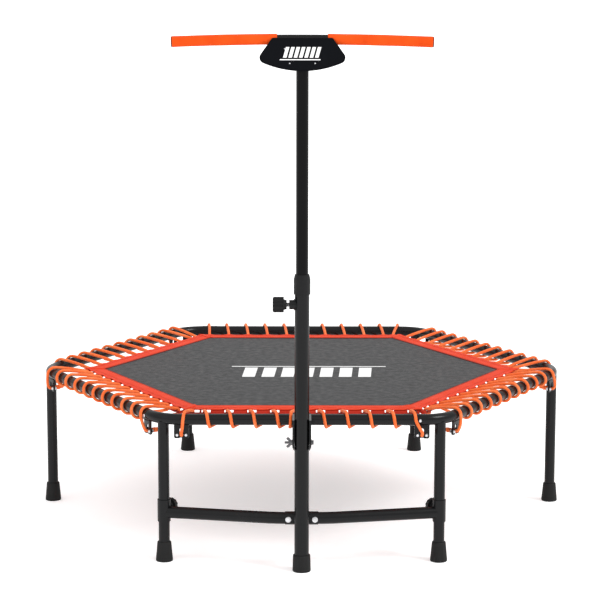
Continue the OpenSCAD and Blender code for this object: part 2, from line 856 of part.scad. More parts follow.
// Screws with their spacers, driven from behind
module plate_screws() {
    gap = plate_rear_y - plate_front_y - plate_t;
    color(zinc)
    at_mast() for (p = plate_screw_places) translate([p[0], 0, p[1]]) {
        translate([0, plate_front_y + 1, 0]) along_y() cylinder(r = 1.5, h = gap + 6);
        translate([0, plate_front_y + plate_t, 0]) along_y() cylinder(r = 4, h = gap);
        translate([0, plate_rear_y + 3, 0]) along_y() cylinder(r1 = 4, r2 = 3, h = 2);
    }
}

// ---------- mast clamp ----------

module clamp_stud() {
    color(zinc)
    at_mast() translate([-62, 0, clamp_z]) along_x() cylinder(r = stud_r, h = 62 - upper_r - near);
}

module clamp_knob() {
    color(black_plastic)
    at_mast() translate([-37, 0, clamp_z]) rotate([0, -90, 0]) fluted_knob(stud_r + running, 7, 27);
}

// ---------- the trampoline ----------

for (i = [1:6]) {
    ring_segment(i - 1);
    leg(i - 1);
    rope(i - 1);
}
ring_joint_screws();
leg_studs();
leg_inserts();
feet();
anchor_plates();
anchor_bars();
anchor_bolts();
rope_knots();
mat_sheet();
border_strips();
mat_rods();
mast_lower_tube();
mast_foot_cap();
mast_collar();
mast_cross_socket();
clamp_boss();
mast_bracket();
bracket_saddle();
bracket_bolts();
cross_bolt();
wing_washer();
wing_nut();
brace_left();
brace_right();
brace_sleeves();
brace_bolts();
sleeve_stud(4);  // sleeve_stud_left
sleeve_stud(5);  // sleeve_stud_right
sleeve_knob(4);  // sleeve_knob_left
sleeve_knob(5);  // sleeve_knob_right
upper_tube();
upper_tube_bush();
t_bar();
grip_left();
grip_right();
bar_end_plugs();
plate_front();
plate_rear();
plate_screws();
clamp_knob();
clamp_stud();
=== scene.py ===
"""Looks of a six-sided fitness trampoline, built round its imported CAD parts.

Everything is in metres and in the frame of the CAD model. Each sub-assembly is a class
that builds its pieces, dresses them and hands them to the body that they move with.
"""

import json
import logging
import math
from collections.abc import Callable, Sequence
from dataclasses import dataclass, field
from enum import Enum

import bmesh
import bpy
import numpy as np
from mathutils import Matrix, Vector


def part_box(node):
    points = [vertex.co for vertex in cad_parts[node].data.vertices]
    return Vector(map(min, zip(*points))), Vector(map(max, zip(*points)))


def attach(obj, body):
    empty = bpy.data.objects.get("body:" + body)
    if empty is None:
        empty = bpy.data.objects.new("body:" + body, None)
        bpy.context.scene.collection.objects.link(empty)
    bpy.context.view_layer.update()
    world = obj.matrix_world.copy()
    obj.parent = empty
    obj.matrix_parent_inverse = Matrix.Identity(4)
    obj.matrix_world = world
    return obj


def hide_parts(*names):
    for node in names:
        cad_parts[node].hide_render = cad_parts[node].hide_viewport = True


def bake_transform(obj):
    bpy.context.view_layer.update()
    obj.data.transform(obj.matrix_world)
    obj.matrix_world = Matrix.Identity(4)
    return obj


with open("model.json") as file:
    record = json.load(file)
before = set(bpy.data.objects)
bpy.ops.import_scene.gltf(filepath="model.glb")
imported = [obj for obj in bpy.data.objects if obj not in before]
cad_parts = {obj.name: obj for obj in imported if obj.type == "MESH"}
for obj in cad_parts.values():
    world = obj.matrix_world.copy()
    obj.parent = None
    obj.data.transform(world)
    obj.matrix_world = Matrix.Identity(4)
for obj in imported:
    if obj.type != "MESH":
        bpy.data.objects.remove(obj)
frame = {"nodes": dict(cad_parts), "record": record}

LOG = logging.getLogger("trampoline")
SIDES = 6
MM = 0.001
TAN_30 = math.tan(math.radians(30))

Colour = tuple[float, float, float]
Socket = bpy.types.NodeSocket
Number = float | Socket
Part = tuple[np.ndarray, list[tuple[int, ...]], list[tuple[float, float]]]


class Body(Enum):
    """The CAD bodies that new pieces ride on."""

    FRAME = "frame"
    MAT = "mat"
    HANDLE = "handle"


# ---------- places ----------


@dataclass(frozen=True)
class Places:
    """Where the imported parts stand, read from their boxes."""

    ring_y: float
    ring_z: float
    side_r: float
    rod_side: float
    rod_z: float
    mat_z: float
    mast_y: float
    bar_z: float
    rope_r: float = 4.0 * MM
    wrap_tube: float = 18.8 * MM
    wrap_rod: float = 7.3 * MM
    rod_r: float = 2.5 * MM

    @classmethod
    def read(cls) -> "Places":
        """Reads the places from the boxes of the CAD nodes.

        Returns:
            The places, in metres.
        """
        low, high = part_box("mat_sheet")
        ring_y, mat_z = (low.y + high.y) / 2, (low.z + high.z) / 2
        low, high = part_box("ring_segment_1")
        ring_z = (low.z + high.z) / 2
        side_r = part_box("rope_2")[1].y - ring_y - cls.wrap_tube - cls.rope_r
        low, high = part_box("mat_rods")
        rod_side, rod_z = high.y - ring_y - cls.rod_r, (low.z + high.z) / 2
        low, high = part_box("mast_lower_tube")
        mast_y = (low.y + high.y) / 2
        bar_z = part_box("t_bar")[1].z - 11 * MM
        return cls(ring_y, ring_z, side_r, rod_side, rod_z, mat_z, mast_y, bar_z)

    def side(self, k: int) -> Matrix:
        """The frame of side k: +X outward through its middle, +Y counter-clockwise."""
        turn = Matrix.Rotation(math.radians(60 * k + 30), 4, "Z")
        return Matrix.Translation((0, self.ring_y, 0)) @ turn


# ---------- mesh helpers ----------


@dataclass
class Shape:
    """Vertices, faces and surface coordinates of one piece, gathered part by part."""

    vertices: list[Sequence[float]] = field(default_factory=list)
    faces: list[tuple[int, ...]] = field(default_factory=list)
    uvs: list[tuple[float, float]] = field(default_factory=list)

    def add(
        self,
        vertices: np.ndarray,
        faces: list[tuple[int, ...]],
        uvs: list[tuple[float, float]],
        place: Matrix | None = None,
    ) -> None:
        """Adds one part.

        Args:
            vertices: Points of the part, one row each.
            faces: Vertex numbers of each face, counted from the part's first point.
            uvs: Surface coordinates, one for each face corner in turn.
            place: Moves the part, or None to leave it.
        """
        if place is not None:
            m = np.array(place)
            vertices = vertices @ m[:3, :3].T + m[:3, 3]
        first = len(self.vertices)
        self.vertices.extend(vertices.tolist())
        self.faces.extend(tuple(first + i for i in face) for face in faces)
        self.uvs.extend(uvs)

    def make(self, name: str, finish: bpy.types.Material) -> bpy.types.Object:
        """Makes the object, smooth and dressed.

        Args:
            name: Name of the piece.
            finish: Its material.

        Returns:
            The new object, at the origin with its place in its mesh.
        """
        mesh = bpy.data.meshes.new(name)
        mesh.from_pydata(self.vertices, [], self.faces)
        layer = mesh.uv_layers.new(name="UVMap")
        layer.data.foreach_set("uv", np.array(self.uvs, np.float32).ravel())
        mesh.polygons.foreach_set("use_smooth", [True] * len(mesh.polygons))
        mesh.materials.append(finish)
        mesh.update()
        obj = bpy.data.objects.new(name, mesh)
        bpy.context.scene.collection.objects.link(obj)
        return obj


def smooth_path(points: np.ndarray, steps: int) -> np.ndarray:
    """Runs a centripetal spline through points.

    Args:
        points: The points to pass through, one row each.
        steps: Pieces that each stretch is cut into.

    Returns:
        The finer path, which ends at the same points.
    """
    ends = np.vstack([2 * points[0] - points[1], points, 2 * points[-1] - points[-2]])
    knots = np.concatenate([[0], np.cumsum(np.linalg.norm(np.diff(ends, axis=0), axis=1) ** 0.5)])
    made = []
    for i in range(1, len(ends) - 2):
        t0, t1, t2, t3 = knots[i - 1 : i + 3]
        p0, p1, p2, p3 = ends[i - 1 : i + 3]
        t = np.linspace(t1, t2, steps, endpoint=False)[:, None]
        a1 = (t1 - t) / (t1 - t0) * p0 + (t - t0) / (t1 - t0) * p1
        a2 = (t2 - t) / (t2 - t1) * p1 + (t - t1) / (t2 - t1) * p2
        a3 = (t3 - t) / (t3 - t2) * p2 + (t - t2) / (t3 - t2) * p3
        b1 = (t2 - t) / (t2 - t0) * a1 + (t - t0) / (t2 - t0) * a2
        b2 = (t3 - t) / (t3 - t1) * a2 + (t - t1) / (t3 - t1) * a3
        made.append((t2 - t) / (t2 - t1) * b1 + (t - t1) / (t2 - t1) * b2)
    return np.vstack([*made, points[-1:]])


def sweep(path: np.ndarray, radii: float | np.ndarray, sides: int) -> Part:
    """Sweeps a round section along a path, with closed ends.

    Args:
        path: Points of the axis, one row each.
        radii: One radius, or one for each point.
        sides: Number of faces round the section.

    Returns:
        Vertices, faces and surface coordinates: metres along, and turns round.
    """
    count = len(path)
    radii = np.broadcast_to(np.asarray(radii, float), (count,))
    ahead = np.vstack([path[1:], path[-1:]]) - np.vstack([path[:1], path[:-1]])
    ahead /= np.linalg.norm(ahead, axis=1)[:, None]
    aside = np.cross(ahead[0], (0, 0, 1) if abs(ahead[0][2]) < 0.9 else (1, 0, 0))
    rings = []
    angles = np.linspace(0, 2 * math.pi, sides, endpoint=False)
    for i in range(count):
        aside = aside - (aside @ ahead[i]) * ahead[i]
        aside /= np.linalg.norm(aside)
        across = np.cross(ahead[i], aside)
        rings.append(
            path[i] + radii[i] * (np.cos(angles)[:, None] * aside + np.sin(angles)[:, None] * across)
        )
    along = np.concatenate([[0], np.cumsum(np.linalg.norm(np.diff(path, axis=0), axis=1))])
    faces, uvs = [], []
    for i in range(count - 1):
        for j in range(sides):
            a, b = i * sides + j, i * sides + (j + 1) % sides
            faces.append((a, b, b + sides, a + sides))
            v0, v1 = j / sides, (j + 1) / sides
            uvs += [(along[i], v0), (along[i], v1), (along[i + 1], v1), (along[i + 1], v0)]
    faces.append(tuple(reversed(range(sides))))
    uvs += [(0.0, j / sides) for j in reversed(range(sides))]
    faces.append(tuple((count - 1) * sides + j for j in range(sides)))
    uvs += [(float(along[-1]), j / sides) for j in range(sides)]
    return np.vstack(rings), faces, uvs


def loft(rings: Sequence[np.ndarray], coordinates: Sequence[list[tuple[float, float]]]) -> Part:
    """Joins closed sections into a solid with flat ends.

    Args:
        rings: The sections, each with the same number of points.
        coordinates: Surface coordinates of each section's points.

    Returns:
        Vertices, faces and surface coordinates.
    """
    size, last, faces, uvs = len(rings[0]), len(rings) - 1, [], []
    for i in range(last):
        for j in range(size):
            n = (j + 1) % size
            faces.append((i * size + j, i * size + n, (i + 1) * size + n, (i + 1) * size + j))
            uvs += [coordinates[i][j], coordinates[i][n], coordinates[i + 1][n], coordinates[i + 1][j]]
    faces += [tuple(reversed(range(size))), tuple(last * size + j for j in range(size))]
    uvs += list(reversed(coordinates[0])) + list(coordinates[last])
    return np.vstack(rings), faces, uvs


def smoothstep(low: float, high: float, x: np.ndarray) -> np.ndarray:
    """Rises smoothly from 0 at low to 1 at high."""
    t = np.clip((x - low) / (high - low), 0, 1)
    return t * t * (3 - 2 * t)


def deselect() -> None:
    """Leaves object mode's selection empty."""
    bpy.ops.object.select_all(action="DESELECT")


def join(objects: Sequence[bpy.types.Object], name: str) -> bpy.types.Object:
    """Joins meshes into one piece at the origin.

    Args:
        objects: The objects to join.
        name: Name of the piece.

    Returns:
        The joined object.
    """
    deselect()
    for obj in objects:
        obj.select_set(True)
    bpy.context.view_layer.objects.active = objects[0]
    bpy.ops.object.join()
    made = bpy.context.view_layer.objects.active
    made.name = made.data.name = name
    deselect()
    return made


def settle(obj: bpy.types.Object, place: Matrix) -> bpy.types.Object:
    """Moves an object's mesh to its place and the object itself to the origin.

    Args:
        obj: The object.
        place: Where its own coordinates go.

    Returns:
        The same object.
    """
    bpy.context.view_layer.update()
    obj.data.transform(place @ obj.matrix_world)
    obj.matrix_world = Matrix.Identity(4)
    return obj


# ---------- finishes ----------


class Shader:
    """A material and its node tree."""

    def __init__(self, name: str) -> None:
        """Starts a material with a plain principled surface.

        Args:
            name: Name of the material.
        """
        self.material = bpy.data.materials.new(name)
        self.material.use_nodes = True
        self.tree = self.material.node_tree
        self.surface = self.tree.nodes["Principled BSDF"]

    def set(self, **values: float | tuple[float, ...]) -> None:
        """Sets sockets of the surface, with underscores for the blanks in their names."""
        for name, value in values.items():
            self.surface.inputs[name.replace("_", " ")].default_value = value

    def node(self, kind: str, inputs: dict[str, object] | None = None, **settings: object) -> bpy.types.Node:
        """Adds a node.

        Args:
            kind: Its type, without the leading ShaderNode.
            inputs: Values or sockets for its inputs, by name.
            **settings: Its own properties.

        Returns:
            The node.
        """
        made = self.tree.nodes.new("ShaderNode" + kind)
        for name, value in settings.items():
            setattr(made, name, value)
        for name, value in (inputs or {}).items():
            self.feed(made.inputs[name], value)
        return made

    def feed(self, socket: Socket, value: object) -> None:
        """Links a socket, or sets its value."""
        if isinstance(value, Socket):
            self.tree.links.new(value, socket)
        else:
            socket.default_value = value

    def math(self, operation: str, a: Number, b: Number = 0.0) -> Socket:
        """One step of arithmetic on two numbers or sockets."""
        made = self.tree.nodes.new("ShaderNodeMath")
        made.operation = operation
        self.feed(made.inputs[0], a)
        self.feed(made.inputs[1], b)
        return made.outputs[0]

    def mapped(self, value: Socket, low: float, high: float, start: float = 0.0, end: float = 1.0) -> Socket:
        """Maps a socket's range start to end on to low to high, and clamps it."""
        names = ("From Min", "From Max", "To Min", "To Max")
        made = self.node("MapRange", dict(zip(names, (start, end, low, high))))
        self.feed(made.inputs["Value"], value)
        return made.outputs[0]

    def mixed(self, share: Number, a: Colour | Socket, b: Colour | Socket) -> Socket:
        """Mixes two colours."""
        made = self.tree.nodes.new("ShaderNodeMix")
        made.data_type = "RGBA"
        self.feed(made.inputs[0], share)
        for socket, value in ((made.inputs[6], a), (made.inputs[7], b)):
            self.feed(socket, value if isinstance(value, Socket) else (*value, 1.0))
        return made.outputs[2]

    def object_place(self, scale: tuple[float, float, float] = (1, 1, 1), turn: float = 0.0) -> Socket:
        """Object coordinates, stretched, and turned about the vertical by an angle."""
        place = self.node("TexCoord").outputs["Object"]
        made = self.node("Mapping", {"Scale": scale, "Rotation": (0.0, 0.0, turn)})
        self.feed(made.inputs["Vector"], place)
        return made.outputs[0]

    def surface_place(self) -> tuple[Socket, Socket]:
        """The two surface coordinates of a piece that has its own UV map."""
        made = self.node("SeparateXYZ", {"Vector": self.node("TexCoord").outputs["UV"]})
        return made.outputs[0], made.outputs[1]

    def noise(self, scale: float, detail: float = 3.0, place: Socket | None = None) -> Socket:
        """Soft noise of a given scale, from 0 to 1."""
        made = self.node("TexNoise", {"Scale": scale, "Detail": detail})
        self.feed(made.inputs["Vector"], place or self.object_place())
        return made.outputs["Fac"]

    def bump(self, height: Socket, distance: float, strength: float = 1.0) -> None:
        """Raises the surface by a height, on top of an earlier bump."""
        made = self.node("Bump", {"Strength": strength, "Distance": distance, "Height": height})
        earlier = self.surface.inputs["Normal"]
        if earlier.is_linked:
            self.tree.links.new(earlier.links[0].from_socket, made.inputs["Normal"])
        self.tree.links.new(made.outputs[0], earlier)

    def colour(self, value: Socket) -> None:
        """Feeds the surface's colour."""
        self.feed(self.surface.inputs["Base Color"], value)

    def roughness(self, value: Socket) -> None:
        """Feeds the surface's roughness."""
        self.feed(self.surface.inputs["Roughness"], value)


@dataclass(frozen=True)
class Finish:
    """What a surface is made of."""

    name: str

    def make(self) -> bpy.types.Material:
        """Makes the material.

        Returns:
            The material.
        """
        s = Shader(self.name)
        self.wire(s)
        return s.material

    def wire(self, s: Shader) -> None:
        """Feeds the surface of the material."""
        raise NotImplementedError


@dataclass(frozen=True)
class Coating(Finish):
    """Powder coat, moulded plastic or rubber: one colour with grain, scuffs and dust."""

    colour: Colour
    worn: Colour
    roughness: tuple[float, float]
    grain_scale: float
    grain_height: float
    dust: float = 0.25
    sheen_level: float = 0.3

    def wire(self, s: Shader) -> None:
        """Feeds the surface with grain, scuffs and dust.

        Args:
            s: The material's nodes.
        """
        cloud = s.noise(7.0, 5.0)
        scuff = s.noise(55.0, 6.0, s.object_place((1.0, 1.0, 0.25)))
        rubbed = s.mapped(scuff, 0.0, 1.0, 0.58, 0.72)
        share = s.math("MULTIPLY", rubbed, s.mapped(cloud, 0.0, self.dust, 0.35, 0.7))
        s.colour(s.mixed(share, self.colour, self.worn))
        uneven = s.math("ADD", s.math("MULTIPLY", cloud, 0.6), s.math("MULTIPLY", scuff, 0.4))
        s.roughness(s.mapped(uneven, *self.roughness, 0.3, 0.7))
        s.bump(s.noise(self.grain_scale, 2.0), self.grain_height, 0.6)
        s.bump(s.noise(self.grain_scale / 9, 2.0), self.grain_height * 3, 0.35)
        s.set(Specular_IOR_Level=self.sheen_level)


@dataclass(frozen=True)
class Plating(Finish):
    """Bright zinc plating with faint brushing, and a thread where it has one."""

    colour: Colour = (0.62, 0.62, 0.64)
    stain: Colour = (0.42, 0.42, 0.40)
    thread: float = 0.0
    turn: float = 0.0

    def wire(self, s: Shader) -> None:
        """Feeds the surface with the brushing and the thread.

        Args:
            s: The material's nodes.
        """
        cloud = s.noise(90.0, 5.0)
        s.colour(s.mixed(s.mapped(cloud, 0.0, 0.7, 0.45, 0.8), self.colour, self.stain))
        s.roughness(s.mapped(cloud, 0.22, 0.42, 0.35, 0.7))
        s.bump(s.noise(900.0, 2.0, s.object_place((0.15, 1.0, 1.0))), 0.05 * MM, 0.5)
        s.set(Metallic=1.0)
        if self.thread:
            split = s.node("SeparateXYZ", {"Vector": s.object_place(turn=self.turn)})
            phase = s.math("MULTIPLY", split.outputs[0], 2 * math.pi / self.thread)
            s.bump(s.math("SINE", phase), 0.45 * MM, 0.9)


@dataclass(frozen=True)
class WovenSheet(Finish):
    """Plain weave of flat tape yarns, on surface coordinates in metres."""

    warp: Colour
    weft: Colour
    yarn: float
    gap: Colour = (0.012, 0.012, 0.013)

    def wire(self, s: Shader) -> None:
        """Feeds the surface with the weave.

        Args:
            s: The material's nodes.
        """
        u, v = (s.math("DIVIDE", x, self.yarn) for x in s.surface_place())
        over = s.math("PINGPONG", s.math("ADD", s.math("FLOOR", u), s.math("FLOOR", v)), 1.0)
        across_u, across_v = (s.math("PINGPONG", x, 0.5) for x in (u, v))
        rise_u, rise_v = (s.math("SQRT", s.math("MULTIPLY", x, 2.0)) for x in (across_u, across_v))
        height = s.node("Mix", {"Factor": over, "A": rise_u, "B": rise_v}).outputs[0]
        base = s.mixed(over, self.warp, self.weft)
        cloud = s.noise(3.5, 6.0)
        tone = s.mixed(s.mapped(cloud, 0.0, 0.35, 0.3, 0.75), base, self.weft)
        s.colour(s.mixed(s.mapped(height, 0.55, 0.0), tone, self.gap))
        s.roughness(s.mapped(s.noise(60.0, 4.0), 0.42, 0.58, 0.3, 0.7))
        s.bump(height, 0.25 * MM, 0.5)
        s.set(Specular_IOR_Level=0.22, Sheen_Weight=0.04, Sheen_Roughness=0.5)
        s.set(Sheen_Tint=(0.8, 0.8, 0.85, 1.0))


@dataclass(frozen=True)
class Webbing(Finish):
    """Sewn webbing: fine ribs along it with a slanted twill, on coordinates in metres."""

    colour: Colour
    shade: Colour
    rib: float = 1.7 * MM

    def wire(self, s: Shader) -> None:
        """Feeds the surface with the ribs and the twill.

        Args:
            s: The material's nodes.
        """
        u, v = (s.math("DIVIDE", x, self.rib) for x in s.surface_place())
        ribs = s.math("PINGPONG", v, 0.5)
        lean = s.math("MULTIPLY", s.math("PINGPONG", v, 1.0), 0.9)
        twill = s.math("PINGPONG", s.math("ADD", u, lean), 0.5)
        height = s.math("ADD", ribs, s.math("MULTIPLY", twill, 0.8))
        cloud = s.noise(16.0, 5.0)
        worn = s.mixed(s.mapped(cloud, 0.0, 0.25, 0.35, 0.75), self.colour, self.shade)
        s.colour(s.mixed(s.mapped(height, 0.5, 0.0, 0.0, 0.55), worn, self.shade))
        s.roughness(s.mapped(cloud, 0.62, 0.8, 0.3, 0.7))
        s.bump(height, 0.28 * MM, 0.6)
        s.set(Specular_IOR_Level=0.15, Sheen_Weight=0.06, Sheen_Roughness=0.45)
        s.set(Sheen_Tint=(1.0, 0.4, 0.25, 1.0))


@dataclass(frozen=True)
class Braid(Finish):
    """Braided cord cover, on metres along the cord and turns round it."""

    colour: Colour
    shade: Colour
    pale: Colour
    strands: int = 8
    pitch: float = 3.6 * MM

    def wire(self, s: Shader) -> None:
        """Feeds the surface with the braid.

        Args:
            s: The material's nodes.
        """
        u, v = s.surface_place()
        along = s.math("DIVIDE", u, self.pitch)
        round_ = s.math("MULTIPLY", v, float(self.strands))
        left, right = s.math("ADD", round_, along), s.math("SUBTRACT", round_, along)
        over = s.math("PINGPONG", s.math("ADD", s.math("FLOOR", left), s.math("FLOOR", right)), 1.0)
        rises = [s.math("SQRT", s.math("MULTIPLY", s.math("PINGPONG", x, 0.5), 2.0)) for x in (left, right)]
        height = s.node("Mix", {"Factor": over, "A": rises[0], "B": rises[1]}).outputs[0]
        cloud = s.noise(28.0, 5.0)
        tone = s.mixed(s.mapped(cloud, 0.0, 0.5, 0.45, 0.75), self.colour, self.pale)
        s.colour(s.mixed(s.mapped(height, 0.75, 0.0, 0.1, 0.8), tone, self.shade))
        s.roughness(s.mapped(cloud, 0.5, 0.7, 0.3, 0.7))
        s.bump(height, 0.45 * MM, 0.6)
        s.set(Specular_IOR_Level=0.2, Sheen_Weight=0.15, Sheen_Roughness=0.4)
        s.set(Sheen_Tint=(1.0, 0.65, 0.4, 1.0))


@dataclass(frozen=True)
class Foam(Finish):
    """Closed-cell foam: a matt skin with fine pores and dents."""

    colour: Colour
    shade: Colour

    def wire(self, s: Shader) -> None:
        """Feeds the surface with the pores and dents.

        Args:
            s: The material's nodes.
        """
        cells = s.node("TexVoronoi", {"Scale": 1400.0, "Vector": s.object_place()}).outputs["Distance"]
        pits = s.mapped(cells, 0.0, 1.0, 0.05, 0.45)
        cloud = s.noise(30.0, 6.0)
        tone = s.mixed(s.mapped(cloud, 0.0, 0.5, 0.35, 0.75), self.colour, self.shade)
        s.colour(s.mixed(s.mapped(pits, 0.5, 0.0), tone, self.shade))
        s.roughness(s.mapped(cloud, 0.6, 0.78, 0.3, 0.7))
        s.bump(pits, 0.12 * MM, 0.6)
        s.bump(cloud, 0.6 * MM, 0.3)
        s.set(Specular_IOR_Level=0.15, Sheen_Weight=0.04, Sheen_Roughness=0.5)
        s.set(Sheen_Tint=(1.0, 0.6, 0.4, 1.0))


@dataclass(frozen=True)
class Print(Finish):
    """Screen-printed ink, a little uneven where it lies on a weave."""

    colour: Colour
    thin: Colour

    def wire(self, s: Shader) -> None:
        """Feeds the surface with the uneven ink.

        Args:
            s: The material's nodes.
        """
        cloud = s.noise(240.0, 4.0)
        s.colour(s.mixed(s.mapped(cloud, 0.0, 0.8, 0.5, 0.85), self.colour, self.thin))
        s.roughness(s.mapped(cloud, 0.45, 0.65, 0.3, 0.7))
        s.bump(cloud, 0.08 * MM, 0.6)


@dataclass(frozen=True)
class StudioFloor(Finish):
    """Pale seamless floor with a trace of mottling."""

    colour: Colour = (0.86, 0.86, 0.86)
    glow: float = 0.42

    def wire(self, s: Shader) -> None:
        """Feeds the surface with the mottling.

        Args:
            s: The material's nodes.
        """
        darker = tuple(0.985 * x for x in self.colour)
        s.colour(s.mixed(s.noise(1.5, 4.0), self.colour, darker))
        s.set(Roughness=0.9, Specular_IOR_Level=0.1)
        s.set(Emission_Color=(1.0, 1.0, 1.0, 1.0), Emission_Strength=self.glow)


BLACK_COAT = Coating(
    "Black_powder_coat", (0.004, 0.0042, 0.0047), (0.02, 0.02, 0.021), (0.2, 0.3),
    1500.0, 0.04 * MM, 0.25, 0.2,
)
UPPER_COAT = Coating(
    "Black_upper_coat", (0.002, 0.0021, 0.0024), (0.01, 0.01, 0.0105), (0.2, 0.3),
    1500.0, 0.04 * MM, 0.25, 0.1,
)
BLACK_PLASTIC = Coating(
    "Black_moulded_plastic", (0.005, 0.005, 0.0055), (0.022, 0.022, 0.022), (0.42, 0.6),
    2200.0, 0.09 * MM, 0.25, 0.2,
)
BLACK_RUBBER = Coating(
    "Black_rubber", (0.006, 0.006, 0.006), (0.03, 0.029, 0.028), (0.55, 0.8),
    1200.0, 0.1 * MM, 0.5, 0.25,
)
PLATE_PLASTIC = Coating(
    "Plate_plastic", (0.0022, 0.0027, 0.0042), (0.008, 0.008, 0.01), (0.25, 0.4),
    1800.0, 0.03 * MM, 0.15, 0.06,
)
ZINC = Plating("Zinc_plating")
DARK_ZINC = Plating("Dark_zinc_plating", (0.12, 0.12, 0.125), (0.07, 0.07, 0.07))
MAT_WEAVE = WovenSheet("Mat_weave", (0.0055, 0.0055, 0.0057), (0.0082, 0.0082, 0.0088), 2.2 * MM)
BORDER_WEB = Webbing("Border_webbing", (0.72, 0.046, 0.012), (0.44, 0.022, 0.007))
# Darker copy of the border webbing for the rod pockets: painted shade under the border's lip.
POCKET_WEB_PAINTED_SHADE = Webbing("Pocket_webbing_painted_shade", (0.42, 0.018, 0.005), (0.22, 0.008, 0.003))
BINDING_WEB = Webbing("Binding_webbing", (0.09, 0.008, 0.006), (0.04, 0.004, 0.003), 1.2 * MM)
# Fabric cover for the rods, darkened as painted shade inside the notches.
ROD_COVER_PAINTED_SHADE = Webbing("Rod_cover_webbing_painted_shade", (0.26, 0.012, 0.004), (0.13, 0.006, 0.002), 1.0 * MM)
ROPE_BRAID = Braid("Rope_braid", (0.9, 0.155, 0.03), (0.5, 0.045, 0.008), (1.0, 0.38, 0.15))
GRIP_FOAM = Foam("Grip_foam", (0.78, 0.078, 0.002), (0.5, 0.035, 0.001))
SEAM_THREAD = Foam("Seam_thread", (0.42, 0.022, 0.008), (0.2, 0.01, 0.004))
HEM_THREAD = Foam("Hem_thread", (0.11, 0.008, 0.006), (0.05, 0.005, 0.003))
MAT_INK = Print("Mat_ink", (0.82, 0.82, 0.82), (0.5, 0.5, 0.5))
PLATE_INK = Print("Plate_ink", (0.88, 0.88, 0.88), (0.7, 0.7, 0.72))
WELD_COAT = Coating(
    "Weld_coat", (0.004, 0.0042, 0.0047), (0.02, 0.02, 0.021), (0.3, 0.45),
    900.0, 0.1 * MM, 0.25, 0.2,
)

SLOT_FINISHES: dict[str, Finish] = {
    "black_powder_coat": BLACK_COAT,
    "zinc_plated_steel": ZINC,
    "foot_rubber": BLACK_RUBBER,
    "black_plastic": BLACK_PLASTIC,
    "plate_plastic": PLATE_PLASTIC,
    "mat_fabric": MAT_WEAVE,
    "border_webbing": BORDER_WEB,
    "rope_cover": ROPE_BRAID,
    "grip_foam": GRIP_FOAM,
}


# ---------- ropes ----------


